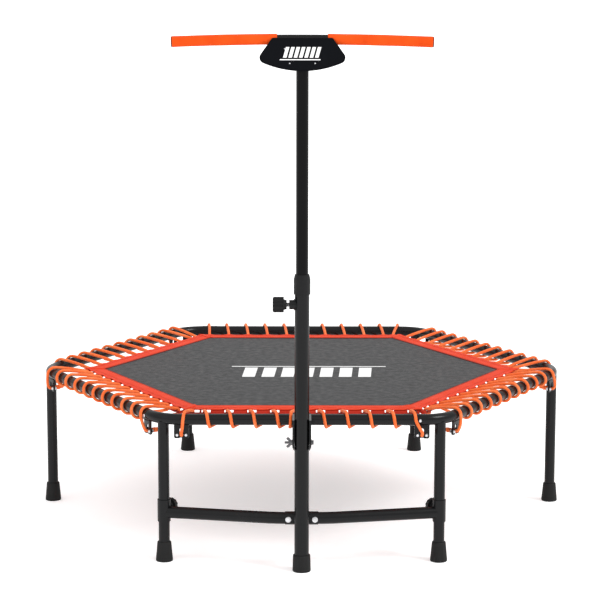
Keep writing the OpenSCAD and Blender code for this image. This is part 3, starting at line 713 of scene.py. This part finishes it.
@dataclass
class Ropes:
    """The six elastic ropes that lace the mat to the ring, one on each side."""

    places: Places
    turns: int = 9
    pitch: float = 57.5 * MM
    first_step: float = 28 * MM
    anchor_s: float = 297 * MM
    anchor_z: float = 326 * MM
    anchor_out: float = 8 * MM
    pushed_turn: tuple[int, int] = (4, 5)
    sides: int = 12
    steps: int = 4

    def hook(self, i: int) -> float:
        """Place of hook i along its side."""
        first = -(self.first_step + self.turns * self.pitch) / 2
        return first if i == 0 else first + self.first_step + (i - 1) * self.pitch

    def on_tube(self, angle: float, s: float) -> list[float]:
        """A point of the rope's axis round the ring tube."""
        p, a = self.places, math.radians(angle)
        return [p.side_r + p.wrap_tube * math.cos(a), s, p.ring_z + p.wrap_tube * math.sin(a)]

    def on_rod(self, angle: float, s: float) -> list[float]:
        """A point of the rope's axis round the rod in the mat's edge."""
        p, a = self.places, math.radians(angle)
        return [p.rod_side + p.wrap_rod * math.cos(a), s, p.rod_z + p.wrap_rod * math.sin(a)]

    def touch_angles(self) -> tuple[float, float]:
        """Angles where the upper and lower strands touch the tube and the rod."""
        p = self.places
        rise, run = p.ring_z - p.rod_z, p.side_r - p.rod_side
        fall = math.degrees(math.atan(rise / run))
        spread = math.degrees(math.acos((p.wrap_rod - p.wrap_tube) / math.hypot(run, rise)))
        return fall + spread, fall - spread

    def over_tube(self, s0: float, s1: float, end: float, steps: int) -> list[list[float]]:
        """From the tube's top down its outer side, between two places along the side."""
        top = self.touch_angles()[0]
        shares = [j / steps for j in range(steps + 1)]
        return [self.on_tube(top + (end - top) * t, s0 + (s1 - s0) * t) for t in shares]

    def round_rod(self, s: float, start: float, steps: int) -> list[list[float]]:
        """Round the inner side of the rod, upward."""
        top = self.touch_angles()[0]
        return [self.on_rod(start + (top - start) * j / steps, s) for j in range(steps + 1)]

    def anchor_run(self, s: float, s_tube: float) -> list[list[float]]:
        """From behind the knot out through the anchor and up to the tube's outer side."""
        p = self.places
        face, z, wrap = p.side_r + self.anchor_out, self.anchor_z, p.side_r + p.wrap_tube
        run = [[face + x * MM, s, z] for x in (-36, -18, -7, 2)]
        return run + [
            [face + 5.5 * MM, s, z + 2.2 * MM],
            [wrap - 2 * MM, s, z + 8 * MM],
            [wrap, s + (s_tube - s) * 0.4, z + 18 * MM],
        ]

    def path(self, k: int) -> np.ndarray:
        """The whole route of the rope on side k, in the frame of that side.

        Args:
            k: Number of the side.

        Returns:
            Points of the rope's axis, one row each.
        """
        p, low = self.places, self.touch_angles()[1]
        first, second = self.hook(0), self.hook(1)
        under_in, under_mid = p.rod_side - 5 * MM, p.rod_side - 3 * MM
        low_z, lowest_z = p.rod_z - 8.0 * MM, p.rod_z - 9.2 * MM
        route = self.anchor_run(-self.anchor_s, 5 * MM - self.anchor_s)
        route += self.over_tube(8 * MM - self.anchor_s, 4 * MM - self.anchor_s, 0, 3)[::-1]
        route += self.round_rod(first, 215, 3)[::-1]
        route += [
            [under_in, first + 5 * MM, low_z],
            [under_mid, (first + second) / 2, lowest_z],
            [under_in, second - 5 * MM, low_z],
        ]
        route += self.round_rod(second, 215, 3)
        for i in range(1, self.turns + 1):
            start, end = self.hook(i) + 8 * MM, self.hook(i) + 19 * MM
            if (k, i) == self.pushed_turn:
                start, end = -26 * MM, -29 * MM
            route += self.over_tube(start, end, low, 7)
            route += self.round_rod(self.hook(i + 1), 360 + low, 4)
        last = self.hook(self.turns + 1)
        route += self.over_tube(last + 4 * MM, last + 9 * MM, 0, 3)
        route += self.anchor_run(self.anchor_s, last + 12 * MM)[::-1]
        return np.array(route)

    def build(self) -> list[bpy.types.Object]:
        """Makes the six ropes between the ring and the mat.

        Returns:
            The rope objects.
        """
        p, finish, made = self.places, ROPE_BRAID.make(), []
        for k in range(SIDES):
            shape = Shape()
            path = smooth_path(self.path(k), self.steps)
            shape.add(*sweep(path, p.rope_r, self.sides), p.side(k))
            rope = shape.make(f"Rope_{k + 1}", finish)
            place = p.side(k)
            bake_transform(rope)
            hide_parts(f"rope_{k + 1}")
            made.append(rope)
        return made

    def build_knots(self) -> bpy.types.Object:
        """Makes the barrel knots that stop the rope ends behind their anchors.

        Returns:
            All knots, as one piece.
        """
        p, shape = self.places, Shape()
        back = p.side_r + self.anchor_out - 11.5 * MM
        turns, coil_r, cord_r, length = 2.4, 3.4 * MM, 3.3 * MM, 12 * MM
        t = np.linspace(0, 1, 44)
        angle = 2 * math.pi * turns * t
        spread = coil_r * (0.3 + 0.7 * np.sin(math.pi * np.clip(t * 4, 0, 0.5)))
        spread *= 0.3 + 0.7 * np.sin(math.pi * np.clip((1 - t) * 4, 0, 0.5))
        path = np.stack([
            back - cord_r - length * t,
            spread * np.cos(angle),
            self.anchor_z + spread * np.sin(angle),
        ], axis=1)
        for k in range(SIDES):
            for end in (-1, 1):
                place = p.side(k) @ Matrix.Translation((0, end * self.anchor_s, 0))
                shape.add(*sweep(path, cord_r, 8), place)
        knots = shape.make("Rope_end_knots", ROPE_BRAID.make())
        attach(knots, Body.FRAME.value)
        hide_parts("rope_knots")
        return knots


# ---------- mat ----------


@dataclass
class Mat:
    """The woven sheet, stretched inside its border."""

    places: Places
    side_r: float = 496 * MM
    half_thickness: float = 0.9 * MM
    cuts: int = 46

    def height(self, x: float, y: float) -> float:
        """Faint waves of the stretched sheet, in metres."""
        wave = math.sin(9.0 * x + 1.3) * math.cos(7.0 * y - 0.4)
        fine = math.sin(21.0 * x - 2.0 + 13.0 * y) * math.cos(17.0 * y + 0.9)
        return (0.35 * wave + 0.12 * fine) * MM

    def build(self) -> bpy.types.Object:
        """Makes the sheet.

        Returns:
            The sheet object.
        """
        p, corner = self.places, self.side_r / math.cos(math.radians(30))
        mesh = bmesh.new()
        bmesh.ops.create_circle(mesh, cap_ends=True, cap_tris=True, segments=6, radius=corner)
        spoke = max(mesh.verts, key=lambda v: v.co.length).co
        spoke = math.degrees(math.atan2(spoke.y, spoke.x)) % 60
        bmesh.ops.rotate(mesh, verts=mesh.verts, matrix=Matrix.Rotation(math.radians(-spoke), 3, "Z"))
        bmesh.ops.subdivide_edges(mesh, edges=mesh.edges, cuts=self.cuts, use_grid_fill=True)
        bmesh.ops.recalc_face_normals(mesh, faces=mesh.faces)
        if sum(f.normal.z for f in mesh.faces) < 0:
            bmesh.ops.reverse_faces(mesh, faces=mesh.faces)
        layer = mesh.loops.layers.uv.new("UVMap")
        for face in mesh.faces:
            face.smooth = True
            for loop in face.loops:
                loop[layer].uv = loop.vert.co.xy
        for v in mesh.verts:
            x, y = v.co.xy
            v.co = (x, y + p.ring_y, p.mat_z + self.height(x, y))
        data = bpy.data.meshes.new("Mat_sheet_woven")
        mesh.to_mesh(data)
        mesh.free()
        data.materials.append(MAT_WEAVE.make())
        sheet = bpy.data.objects.new("Mat_sheet_woven", data)
        bpy.context.scene.collection.objects.link(sheet)
        wall = sheet.modifiers.new("Thickness", "SOLIDIFY")
        wall.thickness, wall.offset = 2 * self.half_thickness, 0.0
        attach(sheet, Body.MAT.value)
        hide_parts("mat_sheet")
        return sheet


@dataclass
class Border:
    """The sewn border: a flat band whose lip covers the rope's hooks, over pockets for the rods."""

    places: Places
    hooks: list[float]
    inner: float = 467 * MM
    lip: float = 512 * MM
    half_thickness: float = 2.6 * MM
    lip_thickness: float = 1.7 * MM
    lip_wave: float = 1.3 * MM
    notch_before: float = 7.0 * MM
    notch_after: float = 16.0 * MM
    pocket_r: float = 3.6 * MM
    pocket_end: float = 296 * MM
    strip_cuts: int = 200
    overlap: float = 9 * MM
    seam_rows: tuple[float, ...] = (471 * MM, 496 * MM, 500 * MM)
    stitch: float = 5 * MM

    def near_hook(self, s: float) -> float:
        """How close a place along the side is to a hook, from 0 to 1."""
        gap = min(abs(s - h) for h in self.hooks)
        return math.exp(-((gap / (11 * MM)) ** 2))

    def top(self, r: np.ndarray, s: float) -> np.ndarray:
        """Height of the band's upper face above the mat's middle plane."""
        z = np.full(len(r), self.half_thickness)
        for row in self.seam_rows:
            z = z - 0.5 * MM * np.exp(-(((r - row) / (1.3 * MM)) ** 2))
        pucker = 0.16 * math.sin(s / (5 * MM) * 2 * math.pi * 0.37) + 0.12 * math.sin(s / (9.1 * MM))
        z = z + pucker * MM * np.exp(-(((r - self.seam_rows[1]) / (14 * MM)) ** 2))
        wave = self.lip_wave * (2 * self.near_hook(s) - 1)
        return z + (0.3 * MM + wave) * smoothstep(self.lip - 9 * MM, self.lip, r)

    def low(self, r: np.ndarray, s: float) -> np.ndarray:
        """Height of the band's lower face, which rises to the thin lip."""
        flat = np.full(len(r), -self.half_thickness)
        share = smoothstep(self.lip - 11 * MM, self.lip - 6 * MM, r)
        return flat + (self.top(r, s) - self.lip_thickness - flat) * share

    def lift(self, r: np.ndarray, s: float) -> np.ndarray:
        """How far the strip's end rises to lie over its neighbour."""
        return 2.1 * MM * smoothstep(-16 * MM, -1 * MM, s - r * TAN_30)

    def strip(self) -> Part:
        """The flat band of one side, in the frame of that side.

        Returns:
            Vertices, faces and surface coordinates.
        """
        near = [0, 0.01, 0.03, 0.08, 0.16, 0.3, 0.42, 0.54, 0.62]
        spacing = np.array([*near, 0.68, 0.73, 0.78, 0.83, 0.88, 0.93, 0.965, 0.985, 1])
        count, end = len(spacing), self.lip * TAN_30
        rings, coordinates = [], []
        for s in np.linspace(-end, end + self.overlap, self.strip_cuts):
            s = float(s)
            out = self.lip + (1.6 - 2.4 * self.near_hook(s)) * MM
            start = max(self.inner, (s - self.overlap) / TAN_30 if s > 0 else -s / TAN_30)
            start = min(start, out - 0.5 * MM)
            r = start + (out - start) * spacing
            cap = np.minimum(np.clip((r - start) / (1.6 * MM), 0, 1), np.clip((out - r) / (0.8 * MM), 0, 1))
            full = np.sqrt(1 - (1 - cap) ** 2)
            high, low = self.top(r, s), self.low(r, s)
            middle, half = (high + low) / 2 + self.places.mat_z + self.lift(r, s), (high - low) / 2 * full
            above = np.stack([r, np.full(count, s), middle + half], axis=1)
            below = np.stack([r, np.full(count, s), middle - half], axis=1)[1:-1][::-1]
            rings.append(np.vstack([above, below]))
            coordinates.append([(s, float(x)) for x in (*r, *r[1:-1][::-1])])
        return loft(rings, coordinates)

    def pocket(self) -> np.ndarray:
        """The section of the rod's pocket: out along its top, round the rod and back below.

        Returns:
            Distances from the middle and heights, one row for each point.
        """
        p = self.places
        round_rod = [
            (p.rod_side + self.pocket_r * math.cos(a), p.rod_z + self.pocket_r * math.sin(a))
            for a in np.radians([72, 45, 18, -9, -36, -63, -90, -115])
        ]
        web = [(self.lip + r * MM, z * MM) for r, z in ((-10, 0.4), (-4, 0.3), (3, -1.3))]
        under = [(2, -7.0), (-4, -4.2), (-10, -2.2)]
        back = [(self.lip + r * MM, z * MM) for r, z in under]
        outline = [(r, p.mat_z + z) for r, z in web] + round_rod + [(r, p.mat_z + z) for r, z in back]
        return np.array(outline)

    def pockets(self, shape: Shape, place: Matrix) -> None:
        """Adds one side's pockets, each from one notch to the next.

        Args:
            shape: Gathers the pockets.
            place: Puts them at their side.
        """
        section = self.pocket()
        centre = section.mean(axis=0)
        round_ = np.concatenate([[0], np.cumsum(np.linalg.norm(np.diff(section, axis=0), axis=1))])
        ends = [-self.pocket_end, *self.hooks, self.pocket_end]
        inset, rounding = np.array([0, 0.35, 1.0, 2.2]) * MM, [0.72, 0.92, 0.985, 1.0]
        scales = [*rounding, *[1.0] * 7, *rounding[::-1]]
        for i in range(len(ends) - 1):
            low = ends[i] + (self.notch_after if i else 0)
            high = ends[i + 1] - (self.notch_before if i < len(ends) - 2 else 0)
            rings, coordinates = [], []
            along = [*(low + inset), *np.linspace(low, high, 9)[1:-1], *(high - inset[::-1])]
            for s, scale in zip(along, scales):
                points = centre + (section - centre) * scale
                rings.append(np.stack([points[:, 0], np.full(len(points), s), points[:, 1]], axis=1))
                coordinates.append([(float(s), float(x)) for x in round_])
            shape.add(*loft(rings, coordinates), place)

    def binding(self) -> Part:
        """The narrow dark tape along the border's inner edge.

        Returns:
            Vertices, faces and surface coordinates.
        """
        z, above = self.places.mat_z, [(462.8, 1.5), (464.0, 1.9), (467.5, 2.0), (469, 1.6)]
        flat = [(462.4, 0.0), *above, *[(r, -h) for r, h in above[::-1]]]
        rings, coordinates = [], []
        for share in np.linspace(-1, 1, 40):
            rings.append([(r * MM, share * r * MM * TAN_30, z + h * MM) for r, h in flat])
            coordinates.append([(float(share) * r * MM * TAN_30, (r + h) * MM) for r, h in flat])
        return loft([np.array(ring) for ring in rings], coordinates)

    def rod_cover(self) -> Part:
        """The close fabric tube round a rod, seen where the notches bare it; its dark red is painted shade
        inside the notches.

        Returns:
            Vertices, faces and surface coordinates.
        """
        rod, z = self.places.rod_side, self.places.rod_z
        half = rod * TAN_30 - 9.5 * MM
        path = np.array([(rod, s, z) for s in np.linspace(-half, half, 90)])
        vertices, faces, uvs = sweep(path, self.places.rod_r + 0.45 * MM, 10)
        return vertices, faces, [(u, v * 0.018) for u, v in uvs]

    def stitches(self, rows: Sequence[float], name: str, finish: Finish) -> bpy.types.Object:
        """Rows of stitches along both faces of the border.

        Args:
            rows: Distances of the rows from the mat's middle.
            name: Name of the piece.
            finish: The thread.

        Returns:
            All stitches of those rows, as one piece.
        """
        p, shape = self.places, Shape()
        share = np.array([0, 0.18, 0.5, 0.82, 1.0])
        for row in rows:
            half = row * TAN_30 - 2 * MM
            count = int(2 * half / self.stitch)
            for face in (1, -1):
                one = Shape()
                for i in range(count):
                    s = -half + (i + 0.5) * 2 * half / count
                    at = np.array([row])
                    z = float((self.top(at, s) if face > 0 else self.low(at, s))[0]) + face * 0.1 * MM
                    z += float(self.lift(at, s)[0])
                    path = np.stack([
                        np.full(5, row) + 0.12 * MM * math.sin(7.1 * i),
                        s + (share - 0.5) * 3.7 * MM,
                        p.mat_z + z + face * 0.35 * MM * np.sin(math.pi * share) - face * 0.2 * MM,
                    ], axis=1)
                    one.add(*sweep(path, np.array([0.22, 0.42, 0.48, 0.42, 0.22]) * MM, 5))
                points = np.array(one.vertices)
                for k in range(SIDES):
                    shape.add(points, one.faces, one.uvs, p.side(k))
        made = shape.make(name, finish.make())
        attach(made, Body.MAT.value)
        return made

    def build(self) -> list[bpy.types.Object]:
        """Makes the six strips, the binding, the rods' covers and pockets, and the stitches.

        Returns:
            The six pieces, in that order.
        """
        p, strips, binding, covers, pockets = self.places, Shape(), Shape(), Shape(), Shape()
        one, tape, cover = self.strip(), self.binding(), self.rod_cover()
        for k in range(SIDES):
            strips.add(*one, p.side(k))
            binding.add(*tape, p.side(k))
            covers.add(*cover, p.side(k))
            self.pockets(pockets, p.side(k))
        webbing = strips.make("Border_strips_sewn", BORDER_WEB.make())
        edge = binding.make("Border_binding", BINDING_WEB.make())
        # The rods' covers are a real fabric tube, dark red as painted shade in the notches.
        rods = covers.make("Border_rod_covers", ROD_COVER_PAINTED_SHADE.make())
        # The pockets wear the darker webbing, which paints the shade under the lip.
        sleeves = pockets.make("Border_rod_pockets", POCKET_WEB_PAINTED_SHADE.make())
        for piece in (webbing, edge, rods, sleeves):
            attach(piece, Body.MAT.value)
        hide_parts("border_strips")
        seams = self.stitches(self.seam_rows[1:], "Border_seam_stitches", SEAM_THREAD)
        hem = self.stitches(self.seam_rows[:1], "Border_hem_stitches", HEM_THREAD)
        return [webbing, edge, rods, sleeves, seams, hem]


# ---------- printed motif ----------


@dataclass
class Motif:
    """A row of slanted bars with a thin line beside it, in place of lettering."""

    name: str
    width: float
    bar_height: float
    line_gap: float
    line_height: float
    bars: int = 7
    lean: float = 0.28
    fill: float = 0.66
    line_share: float = 1.0
    thickness: float = 0.35 * MM

    def block(self, width: float, height: float) -> bpy.types.Object:
        """A thin slanted block with softened edges, its lower left corner at the origin.

        Args:
            width: Its width.
            height: Its height.

        Returns:
            The block.
        """
        bpy.ops.mesh.primitive_cube_add(size=1, location=(0.5, 0.5, 0.5))
        block = bpy.context.active_object
        settle(block, Matrix.Diagonal((width, height, self.thickness, 1)))
        for v in block.data.vertices:
            v.co.x += self.lean * v.co.y
        bpy.ops.object.mode_set(mode="EDIT")
        bpy.ops.mesh.select_all(action="SELECT")
        bpy.ops.mesh.bevel(offset=self.thickness * 0.4, segments=2)
        bpy.ops.object.mode_set(mode="OBJECT")
        deselect()
        return block

    def build(self, place: Matrix, body: Body, slot: str, finish: Finish) -> bpy.types.Object:
        """Makes the motif.

        Args:
            place: Puts the motif's middle, across, up and out, in its place.
            body: The body that it moves with.
            slot: Material slot of the surface that it is printed on; not used.
            finish: The ink.

        Returns:
            The motif, as one piece.
        """
        deselect()
        step = self.width / self.bars
        first = self.block(step * self.fill, self.bar_height)
        blocks = [first]
        for i in range(1, self.bars):
            copy = first.copy()
            copy.data = first.data.copy()
            bpy.context.scene.collection.objects.link(copy)
            copy.data.transform(Matrix.Translation((i * step, 0, 0)))
            blocks.append(copy)
        run = self.width - step * (1 - self.fill)
        line = self.block(run * self.line_share, abs(self.line_height))
        overhang = run * (1 - self.line_share) / 2
        line.data.transform(Matrix.Translation((overhang + self.line_gap * self.lean, self.line_gap, 0)))
        blocks.append(line)
        made = join(blocks, self.name)
        centre = Matrix.Translation((-self.width / 2, -self.bar_height / 2, 0))
        settle(made, place @ centre)
        made.data.materials.clear()
        made.data.materials.append(finish.make())
        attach(made, body.value)
        return made


# ---------- handle ----------


@dataclass
class Grips:
    """The two foam grips on the curved bar."""

    places: Places
    start: float = 60 * MM
    end: float = 309 * MM
    bar_r: float = 11 * MM
    grip_r: float = 13 * MM
    half_length: float = 311 * MM
    drop: float = 6.5 * MM

    def bend(self) -> float:
        """Radius of the bar's shallow arc."""
        return (self.half_length**2 + self.drop**2) / (2 * self.drop)

    def build(self) -> list[bpy.types.Object]:
        """Makes both grips.

        Returns:
            The grip objects.
        """
        p, bend, made = self.places, self.bend(), []
        ends = np.array([0, 0.0, 0.15, 0.5, 1.0, 1.6, 2.4]) * MM
        rise = np.array([-0.15, 0.9, 1.35, 1.72, 1.93, 2.0, 2.0]) * MM
        middle = np.linspace(5 * MM, self.end - self.start - 5 * MM, 44)
        x = np.concatenate([self.start + ends, self.start + middle, (self.end - ends)[::-1]])
        waves = 0.10 * np.sin(x / (23 * MM)) + 0.07 * np.sin(x / (9.7 * MM) + 1.0)
        radii = self.bar_r + np.concatenate([rise, np.full(len(middle), 2.0 * MM), rise[::-1]])
        radii = radii + waves * MM * (radii > self.grip_r - 0.01 * MM)
        x[1] += 0.02 * MM
        x[-2] -= 0.02 * MM
        for side, name, node in ((-1, "Grip_foam_left", "grip_left"), (1, "Grip_foam_right", "grip_right")):
            path = np.stack([
                side * x,
                np.full(len(x), p.mast_y),
                p.bar_z - bend + np.sqrt(bend**2 - x**2),
            ], axis=1)
            shape = Shape()
            shape.add(*sweep(path, radii, 40))
            grip = shape.make(name, GRIP_FOAM.make())
            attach(grip, Body.HANDLE.value)
            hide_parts(node)
            made.append(grip)
        return made


@dataclass
class FrontPlate:
    """The moulded plate on the handle, with a rounded rim and a printed motif."""

    places: Places
    front: float = -20 * MM
    back: float = -16 * MM
    wall: float = 2.6 * MM
    belly_r: float = 238 * MM
    belly_drop: float = 74.4 * MM
    top_corner: tuple[float, float] = (68.5 * MM, -2 * MM)
    top_round: float = 6 * MM
    low_out: float = 87.5 * MM
    low_round: float = 14 * MM

    def arc(
        self, centre: tuple[float, float], r: float, a0: float, a1: float, steps: int
    ) -> list[tuple[float, float]]:
        """Points of an arc, with its angles in degrees."""
        angles = np.radians(np.linspace(a0, a1, steps + 1))
        return [(centre[0] + r * math.cos(a), centre[1] + r * math.sin(a)) for a in angles]

    def outline(self) -> list[tuple[float, float]]:
        """The plate's outline.

        Returns:
            Places across and above the bar's middle, clockwise from the top.
        """
        belly = (0.0, self.belly_r - self.belly_drop)
        reach = self.belly_r - self.low_round
        low = (self.low_out, belly[1] - math.sqrt(reach**2 - self.low_out**2))
        across, up = self.top_corner[0] - low[0], self.top_corner[1] - low[1]
        flank = math.degrees(math.atan2(up, across))
        flank -= math.degrees(math.acos((self.low_round - self.top_round) / math.hypot(across, up)))
        turn = math.degrees(math.atan2(low[1] - belly[1], low[0]))
        half = self.arc(self.top_corner, self.top_round, 90, flank, 8)
        half += self.arc(low, self.low_round, flank, turn, 14)
        half += self.arc(belly, self.belly_r, turn, -90, 16)[1:]
        return half + [(-x, z) for x, z in half[-2::-1]]

    def build(self) -> list[bpy.types.Object]:
        """Makes the plate and its motif.

        Returns:
            The plate and the motif.
        """
        p, outline = self.places, self.outline()
        deselect()
        bpy.ops.mesh.primitive_circle_add(vertices=len(outline), radius=0.08, fill_type="NGON")
        plate = bpy.context.active_object
        plate.name = plate.data.name = "Handle_plate_moulded"
        for v, (x, z) in zip(plate.data.vertices, outline):
            v.co = (x, z, 0)
        bpy.ops.object.mode_set(mode="EDIT")
        bpy.ops.mesh.select_all(action="SELECT")
        bpy.ops.mesh.normals_make_consistent(inside=False)
        bpy.ops.mesh.extrude_region_move(TRANSFORM_OT_translate={"value": (0, 0, self.wall)})
        for inward, rise in ((0.25, 0.55), (0.45, 0.42), (0.7, 0.24), (1.2, 0.14), (2.2, 0.05)):
            bpy.ops.mesh.inset(thickness=inward * MM, depth=rise * MM, use_even_offset=False)
        bpy.ops.mesh.select_all(action="SELECT")
        bpy.ops.mesh.normals_make_consistent(inside=False)
        bpy.ops.object.mode_set(mode="OBJECT")
        wall, high = self.wall, max(v.co.z for v in plate.data.vertices)
        for v in plate.data.vertices:
            if v.co.z > wall:
                v.co.z = wall + (v.co.z - wall) * (self.back - self.front - wall) / (high - wall)
        upright = Matrix.Rotation(math.pi / 2, 4, "X")
        settle(plate, Matrix.Translation((0, p.mast_y + self.back, p.bar_z)) @ upright)
        bpy.ops.object.shade_smooth_by_angle(angle=math.radians(32))
        deselect()
        plate.data.materials.clear()
        plate.data.materials.append(PLATE_PLASTIC.make())
        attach(plate, Body.HANDLE.value)
        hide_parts("plate_front")
        motif = Motif("Handle_plate_motif", 88 * MM, 25 * MM, -6 * MM, 2.4 * MM, line_share=1.15)
        face = Matrix.Translation((-2 * MM, p.mast_y + self.front + 0.05 * MM, p.bar_z - 30 * MM))
        printed = motif.build(face @ upright, Body.HANDLE, "plate_plastic", PLATE_INK)
        return [plate, printed]


# ---------- welds ----------


@dataclass
class WeldBeads:
    """Rippled weld beads where steel parts are joined."""

    places: Places
    bead_r: float = 1.7 * MM

    def bead(self, shape: Shape, path: np.ndarray, place: Matrix | None = None, closed: bool = False) -> None:
        """Adds one bead along a path.

        Args:
            shape: Gathers the bead.
            path: Its axis, one row for each point.
            place: Moves it, or None.
            closed: True where the path comes back to its start.
        """
        fine = smooth_path(np.vstack([path, path[:2]]) if closed else path, 4)
        along = np.concatenate([[0], np.cumsum(np.linalg.norm(np.diff(fine, axis=0), axis=1))])
        ripple = 1 + 0.14 * np.sin(along / (1.1 * MM))
        ends = np.ones(len(fine))
        if not closed:
            ends = np.clip(np.minimum(along, along[-1] - along) / (2 * MM) + 0.35, 0, 1)
        shape.add(*sweep(fine, self.bead_r * ripple * ends, 8), place)

    def build(self) -> bpy.types.Object:
        """Makes the beads at the mast, the bracket and the rope anchors.

        Returns:
            All beads, as one piece.
        """
        p, shape = self.places, Shape()
        mast = Matrix.Translation((0, p.mast_y, 0))
        a = np.linspace(0, 2 * math.pi, 28, endpoint=False)
        boss_low, boss_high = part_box("clamp_boss")
        boss_z, boss_r, mast_r = (boss_low.z + boss_high.z) / 2, (boss_high.z - boss_low.z) / 2, 18 * MM
        across, up = (boss_r + 0.5 * MM) * np.sin(a), (boss_r + 0.5 * MM) * np.cos(a)
        surface = -np.sqrt(mast_r**2 - across**2) - 0.3 * MM
        self.bead(shape, np.stack([surface, across, boss_z + up], axis=1), mast, True)
        socket_low, socket_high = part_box("mast_cross_socket")
        socket_z = (socket_low.z + socket_high.z) / 2
        socket_r = (socket_high.z - socket_low.z) / 2
        gap_y = (socket_low.y + socket_high.y) / 2 - p.mast_y
        x, z = 7 * MM * np.cos(a), 8 * MM * np.sin(a)
        y = (np.sqrt(mast_r**2 - x**2) + gap_y - np.sqrt(socket_r**2 - z**2)) / 2
        self.bead(shape, np.stack([x, y, socket_z + z], axis=1), mast, True)
        side_half = (p.side_r - 100 * MM) * TAN_30
        face = p.side_r + 8 * MM
        for k in range(SIDES):
            for end in (-1, 1):
                s = end * np.linspace(279.5, 314.5, 9) * MM
                past = np.clip(np.abs(s) - side_half, 0, None)
                centre = p.side_r - (0.1 - np.sqrt(0.01 - past**2))
                drop = np.sqrt(np.clip((14.2 * MM) ** 2 - (face - centre) ** 2, 1e-6, None))
                path = np.stack([np.full(9, face + 0.4 * MM), s, p.ring_z - drop - 0.5 * MM], axis=1)
                self.bead(shape, path, p.side(k))
        beads = shape.make("Weld_beads", WELD_COAT.make())
        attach(beads, Body.FRAME.value)
        return beads


# ---------- carried-over parts ----------


@dataclass
class CarriedParts:
    """The CAD parts whose shape stays, dressed by their material slots."""

    threaded: dict[str, tuple[float, float]] = field(default_factory=lambda: {
        "clamp_stud": (1.5 * MM, 0.0),
        "sleeve_stud_left": (1.25 * MM, -math.radians(70)),
        "sleeve_stud_right": (1.25 * MM, -math.radians(110)),
    })

    finishes: dict[str, Finish] = field(default_factory=lambda: {
        "upper_tube": UPPER_COAT,
        "t_bar": BLACK_COAT,
        "cross_bolt": DARK_ZINC,
        "wing_washer": DARK_ZINC,
        "wing_nut": DARK_ZINC,
    })

    def dress(self) -> int:
        """Gives every CAD node the finish of its slot.

        Returns:
            How many nodes were dressed.
        """
        made = {slot: finish.make() for slot, finish in SLOT_FINISHES.items()}
        rows = frame["record"]["subparts"]
        for row in rows:
            node = row["node"]
            material = made[row["material_slot"]]
            if node in self.threaded:
                pitch, turn = self.threaded[node]
                material = Plating(f"Zinc_thread_{node}", thread=pitch, turn=turn).make()
            elif node in self.finishes:
                material = self.finishes[node].make()
            data = frame["nodes"][node].data
            data.materials.clear()
            data.materials.append(material)
        return len(rows)


# ---------- studio ----------


@dataclass
class Studio:
    """Floor, soft light and camera."""

    places: Places
    camera_from_ring: tuple[float, float, float] = (-0.0095, -5.9276, 1.5632)
    pitch: float = 9.60
    yaw: float = -0.05
    roll: float = 0.09
    lens: float = 132.3
    floor_size: float = 400.0

    def build_camera(self) -> bpy.types.Object:
        """Makes the camera and makes it the scene's.

        Returns:
            The camera object.
        """
        data = bpy.data.cameras.new("Camera")
        data.lens, data.sensor_width, data.clip_end = self.lens, 36.0, 500.0
        camera = bpy.data.objects.new("Camera", data)
        bpy.context.scene.collection.objects.link(camera)
        x, y, z = self.camera_from_ring
        camera.location = (x, y + self.places.ring_y, z)
        turn = Matrix.Rotation(math.radians(self.yaw), 3, "Z")
        tip = Matrix.Rotation(math.radians(90 - self.pitch), 3, "X")
        roll = Matrix.Rotation(math.radians(self.roll), 3, "Z")
        camera.rotation_euler = (turn @ tip @ roll).to_euler()
        bpy.context.scene.camera = camera
        return camera

    def lamp(self, name: str, toward: tuple[float, float, float], strength: float, softness: float) -> None:
        """Adds a soft distant light.

        Args:
            name: Its name.
            toward: The direction that its light travels.
            strength: Its strength.
            softness: Its apparent width, in degrees.
        """
        data = bpy.data.lights.new(name, "SUN")
        data.energy, data.angle = strength, math.radians(softness)
        lamp = bpy.data.objects.new(name, data)
        bpy.context.scene.collection.objects.link(lamp)
        lamp.rotation_euler = Vector(toward).to_track_quat("-Z", "Y").to_euler()

    def build(self) -> None:
        """Makes the floor and the lights."""
        deselect()
        bpy.ops.mesh.primitive_plane_add(size=self.floor_size)
        floor = bpy.context.active_object
        floor.name = "Studio_floor"
        floor.data.materials.append(StudioFloor("Studio_floor").make())
        deselect()
        world = bpy.data.worlds.new("Studio")
        world.use_nodes = True
        world.node_tree.nodes["Background"].inputs["Color"].default_value = (1, 1, 1, 1)
        world.node_tree.nodes["Background"].inputs["Strength"].default_value = 0.95
        bpy.context.scene.world = world
        self.lamp("Key", (-0.75, 0.38, -0.85), 1.6, 22.0)
        self.lamp("Fill", (0.5, 0.6, -0.7), 0.4, 70.0)
        bpy.context.scene.view_settings.view_transform = "Standard"


# ---------- the whole ----------


def report(pieces: bpy.types.Object | Sequence[bpy.types.Object]) -> None:
    """Logs each piece with its number of faces."""
    for piece in [pieces] if isinstance(pieces, bpy.types.Object) else pieces:
        LOG.info("%s: %d faces", piece.name, len(piece.data.polygons))


def main() -> None:
    """Builds the trampoline's looks, sub-assembly by sub-assembly."""
    logging.basicConfig(level=logging.INFO, format="%(name)s: %(message)s")
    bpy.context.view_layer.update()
    places = Places.read()
    studio = Studio(places)
    studio.build_camera()
    ropes = Ropes(places)
    report(ropes.build())
    report(ropes.build_knots())
    LOG.info("dressed %d CAD nodes", CarriedParts().dress())
    sheet = Mat(places).build()
    report(sheet)
    border = Border(places, [ropes.hook(i) for i in range(ropes.turns + 2)])
    pieces = border.build()
    report(pieces)
    motif = Motif("Mat_motif", 0.365, 0.125, 0.138, 0.008, lean=0.05, line_share=1.22)
    on_mat = Matrix.Translation((0.022, places.ring_y - 0.042, places.mat_z + 1.25 * MM))
    printed = motif.build(on_mat, Body.MAT, "mat_fabric", MAT_INK)
    report(printed)
    grips = Grips(places).build()
    report(grips)
    report(FrontPlate(places).build())
    report(WeldBeads(places).build())
    studio.build()


if __name__ == "__main__":
    main()
